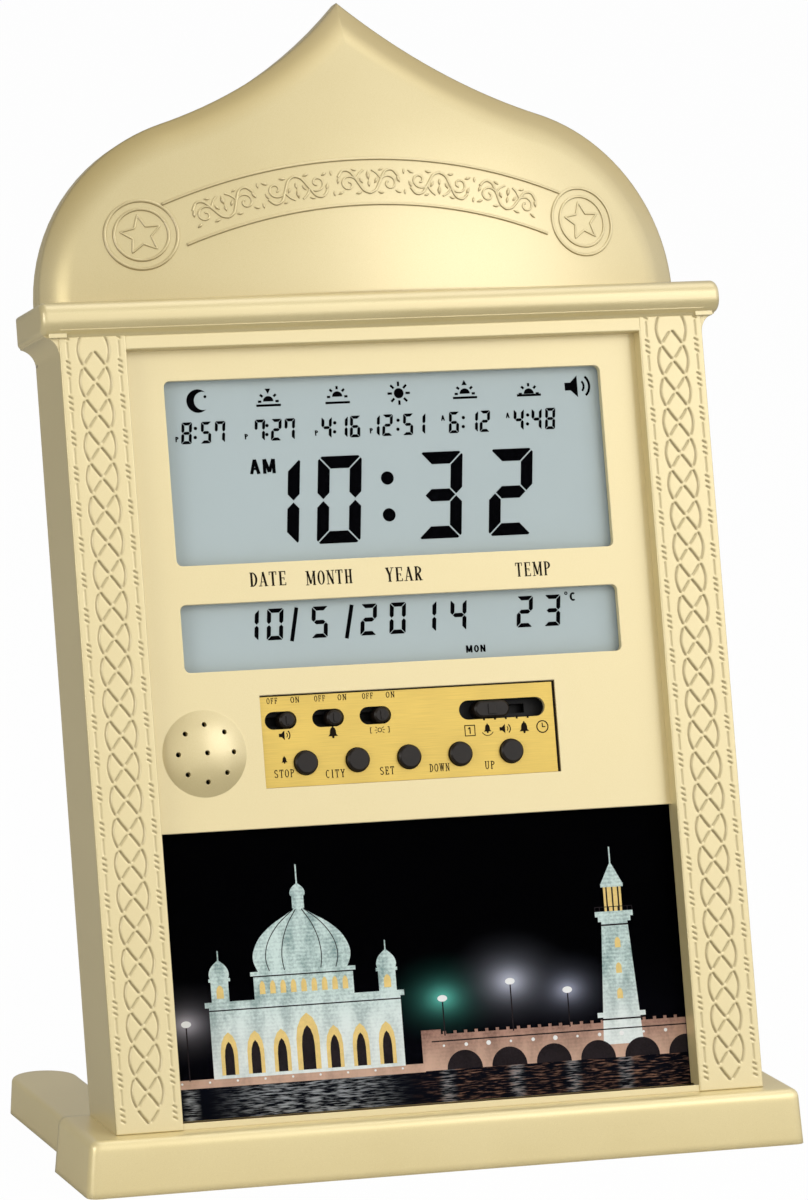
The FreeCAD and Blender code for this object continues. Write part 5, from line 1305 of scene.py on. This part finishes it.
def nightPrint(sheet):
    # black sky with lamp glow in the haze, and still water that mirrors the lights
    spot = sheet.upright()
    x, _, z = sheet.parts(spot)
    haze = sheet.noise(sheet.stretch(spot, (0.6, 1.0, 1.0)), 14.0, 4.0)
    colour = sheet.mix(z.step(12.0, 40.0), srgb(6, 6, 11), srgb(1, 1, 2))
    ripple = sheet.noise(sheet.stretch(spot, (0.28, 1.0, 2.6)), 1.0, 3.0, 0.6)
    streaks = (abs(x - hall["middle"]) / hall["walls"][0][0]).step(1.1, 0.3)
    for lampX, lampZ, level, spread, tint in glows:
        far = ((x - lampX) ** 2 * 0.55 + (z - lampZ) ** 2) / spread**2
        core = (level / (1 + far) ** 1.9 - 0.008).atLeast(0.0)
        colour = sheet.mix((core * (0.5 + 0.7 * haze)).atMost(1.0), colour, scaled(tint, 0.75))
    for lightX in (*(glow[0] for glow in glows), beacon["middle"]):
        streaks = streaks.atLeast((abs(x - lightX) / 2.2).step(1.2, 0.1))
    water = sheet.mix(streaks * ripple.step(0.42, 0.68), srgb(12, 14, 22), srgb(168, 172, 176))
    warm = sheet.mix(ripple.step(0.5, 0.75) * x.step(-8.0, 8.0), water, srgb(150, 112, 92))
    colour = sheet.mix(z.step(picture["shore"] + 0.1, picture["shore"] - 0.1), colour, warm)
    return {"Base Color": colour, "Roughness": 0.5 + 0.1 * (haze - 0.5)}


def printedStone(dark, light, glow, low, high):
    # masonry in floodlight: brightest near its foot, with fine courses and a coarse grain
    def make(sheet):
        spot = sheet.upright()
        z = sheet.parts(spot)[2]
        grain = sheet.noise(spot, 0.7, 3.0, 0.7)
        cloud = sheet.noise(sheet.stretch(spot, (1.0, 1.0, 0.4)), 3.5, 3.0)
        course = abs((z * 1.1).calc("PINGPONG", 1.0) - 0.5) * 2
        tone = (grain * 0.4 + cloud * 0.54 + course * 0.06).step(0.28, 0.64)
        colour = sheet.mix(tone, srgb(*dark), srgb(*light))
        wash = z.step(high, low) * (0.35 + 0.65 * cloud)
        return {"Base Color": sheet.mix(wash, colour, srgb(*glow)), "Roughness": 0.5 + 0.1 * (grain - 0.5)}

    return make


inks = {key: finish(name, make, Specular_IOR_Level=0.005) for key, name, make in (
    ("sky", "printNight", nightPrint),
    ("pale", "printPaleStone", printedStone((122, 150, 148), (222, 240, 234), (252, 255, 252), 14.0, 34.0)),
    ("warm", "printWarmStone", printedStone((104, 74, 66), (178, 136, 120), (232, 196, 172), 9.0, 22.0)),
    ("shade", "printShade", moulded(srgb(36, 31, 33), 1.6, 0.5, 0.5)),
    ("window", "printWindow", moulded(srgb(236, 206, 132), 1.15, 0.4, 0.5, 2.0)),
    ("lamp", "printLamp", moulded(srgb(252, 252, 250), 1.02, 0.4, 0.5)),
)}


def archShape(x, low, half, rise):
    # a pointed opening, straight to the springing line
    side = ((1.0, 0.0), (1.0, 0.55), (0.86, 0.75), (0.5, 0.91), (0.0, 1.0))
    return mirrored(x, [(half * a, low + rise * b) for a, b in side])


def domeShape(x, low, half, rise):
    # a bulging dome that draws up to a point
    side = ((0.92, 0.0), (1.0, 0.16), (0.98, 0.32), (0.84, 0.52), (0.58, 0.7), (0.3, 0.83))
    side += ((0.1, 0.93), (0.0, 1.0))
    return mirrored(x, smoothLine([(half * a, low + rise * b) for a, b in side], 4))


def hallShapes():
    x = hall["middle"]
    pale = slabs(x, *hall["walls"], *hall["drum"], *hall["spire"])
    pale += [domeShape(x, *hall["dome"]), domeShape(x, *hall["lantern"])]
    shade = slabs(x, *hall["ledges"])
    pitch, *light = hall["lights"]
    windows = [archShape(x + pitch * n, *light) for n in range(-4, 5)]
    pitch, sill = hall["doors"]
    for n in range(-3, 4):
        half, rise = hall["door" if n else "gate"]
        windows.append(archShape(x + pitch * n, sill, half, rise))
        shade.append(archShape(x + pitch * n, sill, half * hall["shadow"][0], rise * hall["shadow"][1]))
    foot, half, rise = hall["dome"]
    for n in (-2, -1, 1, 2):
        reach = half * math.sin(math.radians(hall["ribTurn"] * n))
        rib = smoothLine([(x + reach * a, foot + rise * b) for a, b in hall["ribs"]], 4)
        shade += [stroke(a, b, hall["ribWidth"]) for a, b in zip(rib, rib[1:])]
    for post in (x - hall["turrets"], x + hall["turrets"]):
        pale += slabs(post, *hall["turret"]) + [domeShape(post, *hall["turretDome"])]
        windows.append(archShape(post, *hall["turretLight"]))
    return {"pale": pale, "window": windows, "shade": shade}


def beaconShapes():
    # a tapered round light tower with two galleries
    x = beacon["middle"]
    wide, foot, narrow, top = beacon["shaft"]
    pale = [[(x - wide, foot), (x + wide, foot), (x + narrow, top), (x - narrow, top)]]
    half, foot, top = beacon["roof"]
    pale += [[(x - half, foot), (x + half, foot), (x, top)]]
    pale += slabs(x, *beacon["rings"], beacon["spire"])
    windows = slabs(x, beacon["lantern"])
    shift, sill, pitch, *light = beacon["lights"]
    windows += [archShape(x + shift * n, sill + pitch * n, *light) for n in range(3)]
    shade = slabs(x, *beacon["shadows"])
    for count, pitch, half, top in beacon["bars"]:
        for n in range(-count, count + 1):
            shade += slabs(x + pitch * n, (half, beacon["lantern"][1], top))
    return {"pale": pale, "window": windows, "shade": shade}


def bridgeShapes():
    # a stone bridge on round arches, with a parapet
    left, right = bridge["ends"]
    warm = [bar(left, low, right, high) for low, high in bridge["deck"]]
    warm += [bar(*bridge["quay"])] + slabs(left, bridge["pier"])
    count, pitch, start, end, low, high = bridge["teeth"]
    warm += [bar(left + pitch * n + start, low, left + pitch * n + end, high) for n in range(count)]
    low, high = bridge["joint"]
    count, first, pitch, level, radius = bridge["arches"]
    shade = [bar(left, low, right, high)]
    shade += [halfDisc(left + first + pitch * n, level, radius, 20) for n in range(count)]
    count, first, pitch, level = bridge["lamps"]
    lights = [circle(left + first + pitch * n, level, 0.32 + 0.14 * (n % 3), 10) for n in range(count)]
    count, first, pitch, level = bridge["quayLamps"]
    lights += [circle(first + pitch * n, level, 0.3, 8) for n in range(count)]
    return {"warm": warm, "shade": shade, "lamp": lights}


def lampShapes():
    foot, width = picture["post"]
    posts = [stroke((x, foot if x > 0 else picture["shore"]), (x, z), width) for x, z, *_ in glows]
    heads = [arc(x, z, *picture["lampHead"], 0, 360, 20)[:-1] for x, z, *_ in glows]
    return {"shade": posts, "lamp": heads}


def picturePrint():
    card = Bench()
    front, layer = picture["front"], picture["layer"]
    whole = (picture["half"], picture["low"], picture["high"])
    card.plate(slabs(0.0, whole), front, picture["back"] - front)
    card = card.piece("picture_print", inks["sky"])
    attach(card, "case")
    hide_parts("picture_card")
    drawn = (hallShapes(), beaconShapes(), bridgeShapes(), lampShapes())
    for n, name in enumerate(("warm", "pale", "window", "shade", "lamp"), 1):
        coat = Bench()
        shapes = [shape for part in drawn for shape in part.get(name, [])]
        coat.plate(shapes, front - n * layer, (n + 0.5) * layer)
        coat = coat.piece("picture_" + name, inks[name])
        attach(coat, "case")


picturePrint()
print("picture printed")

screwHead = {
    "sides": 36,
    "dome": 0.3,  # how far the head falls to its rim, as a share of its rise
    "reach": 0.62,  # the cross recess against the head's radius
    "width": 0.2,
    "depth": 0.55,
    "case_screws": (2.5, 1.6, 1.1),  # head radius, rise and shaft radius in mm
    "stand_screws": (3.0, 1.8, 1.3),
    "foot_screws": (2.6, 1.6, 1.3),
}
screwSizes = {"Head radius": 2.5, "Head rise": 1.6, "Shaft radius": 1.1, "Shaft length": 7.4, "Turn": 0.0}


def screwTree():
    sheet, start, size = treeInputs("crossScrew", screwSizes)
    across, rise, length = size["Head radius"], size["Head rise"], size["Shaft length"]

    def lifted(geometry, z):
        return sheet.node("GeometryNodeTransform", {"Geometry": geometry, "Translation": sheet.vector(z=z)})

    shape = {"Vertices": screwHead["sides"], "Side Segments": 2, "Fill Segments": 4}
    head = sheet.node("GeometryNodeMeshCylinder", {**shape, "Radius": across, "Depth": rise})
    x, y, z = sheet.parts(sheet.node("GeometryNodeInputPosition"))
    out = (x * x + y * y) / (across * across)
    fall = (z / rise + 0.5) * out * out * rise * screwHead["dome"]
    crown = sheet.moved(head, sheet.vector(x, y, z + rise / 2 - fall))
    long, thin = across * screwHead["reach"] * 2, across * screwHead["width"]
    cut = sheet.node("GeometryNodeMeshBoolean", {"Mesh 1": crown}, operation="DIFFERENCE")
    for a, b in ((long, thin), (thin, long)):
        block = {"Size": sheet.vector(a, b, rise * screwHead["depth"] * 2)}
        block = lifted(sheet.node("GeometryNodeMeshCube", block), rise)
        sheet.tree.links.new(block.socket, cut.socket.node.inputs["Mesh 2"])
    shape = {"Vertices": 20, "Radius": size["Shaft radius"], "Depth": length}
    shaft = lifted(sheet.node("GeometryNodeMeshCylinder", shape), 0.1 - length / 2)
    twist = sheet.node("FunctionNodeRandomValue", {2: 0.0, 3: 3.1, 8: 4}, 1)
    turn = {"Rotation": sheet.vector(size["Turn"]), "Rotate By": sheet.vector(z=twist)}
    turned = sheet.node("FunctionNodeRotateEuler", turn, rotation_type="EULER", space="LOCAL")
    screws = {"Points": start, "Instance": sheet.joined(cut, shaft), "Rotation": turned}
    return sheet, sheet.node("GeometryNodeInstanceOnPoints", screws)


def screwIslands(name, place):
    # the lowest and highest corner of each screw of a packed group
    work = bmesh.new()
    work.from_mesh(frame["nodes"][name].data)
    bmesh.ops.remove_doubles(work, verts=work.verts, dist=0.0005 * mm)
    back = place.inverted()
    left, boxes = set(work.verts), []
    while left:
        group, edge = set(), [left.pop()]
        while edge:
            vertex = edge.pop()
            group.add(vertex)
            for link in vertex.link_edges:
                other = link.other_vert(vertex)
                if other in left:
                    left.discard(other)
                    edge.append(other)
        spots = [back @ vertex.co for vertex in group]
        boxes.append([(min(s[n] for s in spots), max(s[n] for s in spots)) for n in range(3)])
    work.free()
    return sorted(boxes)


def crossScrews(name, place, along, turn):
    # along: the axis the screws lie on, 1 with the head at the back or 2 with it below
    head, rise, shaft = screwHead[name]
    spots = []
    for box in screwIslands(name, place):
        spot = [(low + high) / 2 for low, high in box]
        low, high = box[along]
        spot[along] = high - rise if along == 1 else low + rise
        spots.append(spot)
        reach = high - low - rise
    seed = bpy.data.meshes.new(name + "Seed")
    seed.from_pydata(spots, [], [])
    sheet, last = screwTree()
    sizes = dict(zip(screwSizes, (head, rise, shaft, reach, turn)))
    piece = grow("cross_" + name, sheet, last, finishes["bright_steel"], sizes, seed, place)
    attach(piece, "case")
    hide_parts(name)


crossScrews("case_screws", toWorld, 1, -math.pi / 2)
crossScrews("stand_screws", standWorld, 2, math.pi)
crossScrews("foot_screws", standWorld, 2, math.pi)
print("screws driven")

view = {
    "spot": (-0.47519, -1.46245, 0.35404),
    "aim": (-0.00999, -0.0442, 0.13762),
    "roll": -0.15,
    "lens": 191.3,
}
lamps = (  # name, place, width, power
    ("keyLamp", (0.95, -1.25, 0.95), 1.0, 7.0),
    ("topLamp", (0.35, 0.1, 1.5), 0.9, 4.0),
    ("fillLamp", (-1.4, -0.7, 0.6), 0.8, 9.0),
)
room = {
    "dim": 0.18,  # the light that falls in from the darker side, and from the brighter
    "bright": 0.58,
    "mirror": (0.1, 1.35),  # the same for what glossy faces reflect
    "floorMirror": 0.8,
    "floorGlow": 0.15,
    "reach": 15.0,
    "middle": (0.0, 0.0, 0.13),  # where the lamps point
}


def seenRays(sheet, mirror):
    # 1 for what the camera sees, past clear sheets too, and part of it in reflections
    ray = sheet.node("ShaderNodeLightPath")
    seen = ray.atLeast(ray.other("Is Transmission Ray"))
    return seen.atLeast(ray.other("Is Glossy Ray") * mirror)


def aimed(spot, target):
    look = Vector(target) - Vector(spot)
    return Matrix.Translation(spot) @ look.to_track_quat("-Z", "Y").to_matrix().to_4x4()


def studio():
    camera = placeObject("camera", bpy.data.cameras.new("camera"))
    camera.data.sensor_fit = "VERTICAL"
    camera.data.sensor_height = 36.0
    camera.data.lens = view["lens"]
    camera.data.clip_start = 0.05
    roll = Matrix.Rotation(math.radians(view["roll"]), 4, "Z")
    camera.matrix_world = aimed(view["spot"], view["aim"]) @ roll
    bpy.context.scene.camera = camera

    for name, spot, width, power in lamps:
        lamp = bpy.data.lights.new(name, "AREA")
        lamp.energy = power
        lamp.size = width
        placeObject(name, lamp).matrix_world = aimed(spot, room["middle"])

    world = bpy.data.worlds.new("studio")
    bpy.context.scene.world = world
    world.use_nodes = True
    sheet = Sheet(world.node_tree)
    x, y, z = sheet.parts(sheet.node("ShaderNodeTexCoord", out="Generated"))
    glow = (0.75 * x - 0.3 * y + 0.45 * z).step(-0.8, 0.9, room["dim"], room["bright"])
    gloss = (0.7 * x - 0.7 * y - 0.1 * z).step(-0.6, 0.9, *room["mirror"])
    strength = glow.atLeast(seenRays(sheet, gloss))
    light = sheet.node("ShaderNodeBackground", {"Color": (1, 1, 1, 1), "Strength": strength})
    sheet.node("ShaderNodeOutputWorld", {"Surface": light})

    floor = bpy.data.meshes.new("floor")
    corners = bar(-room["reach"], -room["reach"], room["reach"], room["reach"])
    floor.from_pydata([(x, y, 0) for x, y in corners], [], [(0, 1, 2, 3)])
    paint = bpy.data.materials.new("paleFloor")
    paint.use_nodes = True
    sheet = Sheet(paint.node_tree)
    grain = sheet.noise(sheet.level(), 5.0)
    tone = sheet.mix(grain, srgb(240, 240, 240), srgb(246, 246, 246))
    rough = 0.85 + 0.1 * (grain - 0.5)
    pale = sheet.node("ShaderNodeBsdfPrincipled", {"Base Color": tone, "Roughness": rough})
    glow = room["floorGlow"] + (1 - room["floorGlow"]) * seenRays(sheet, 0.0)
    white = sheet.node("ShaderNodeEmission", {"Color": (1, 1, 1, 1), "Strength": glow})
    both = (seenRays(sheet, room["floorMirror"]) * 0.975, pale, white)
    sheet.node("ShaderNodeOutputMaterial", {"Surface": sheet.node("ShaderNodeMixShader", both)})
    floor.materials.append(paint)
    placeObject("floor", floor)


studio()
bpy.context.scene.view_settings.view_transform = "Standard"
print("studio ready")
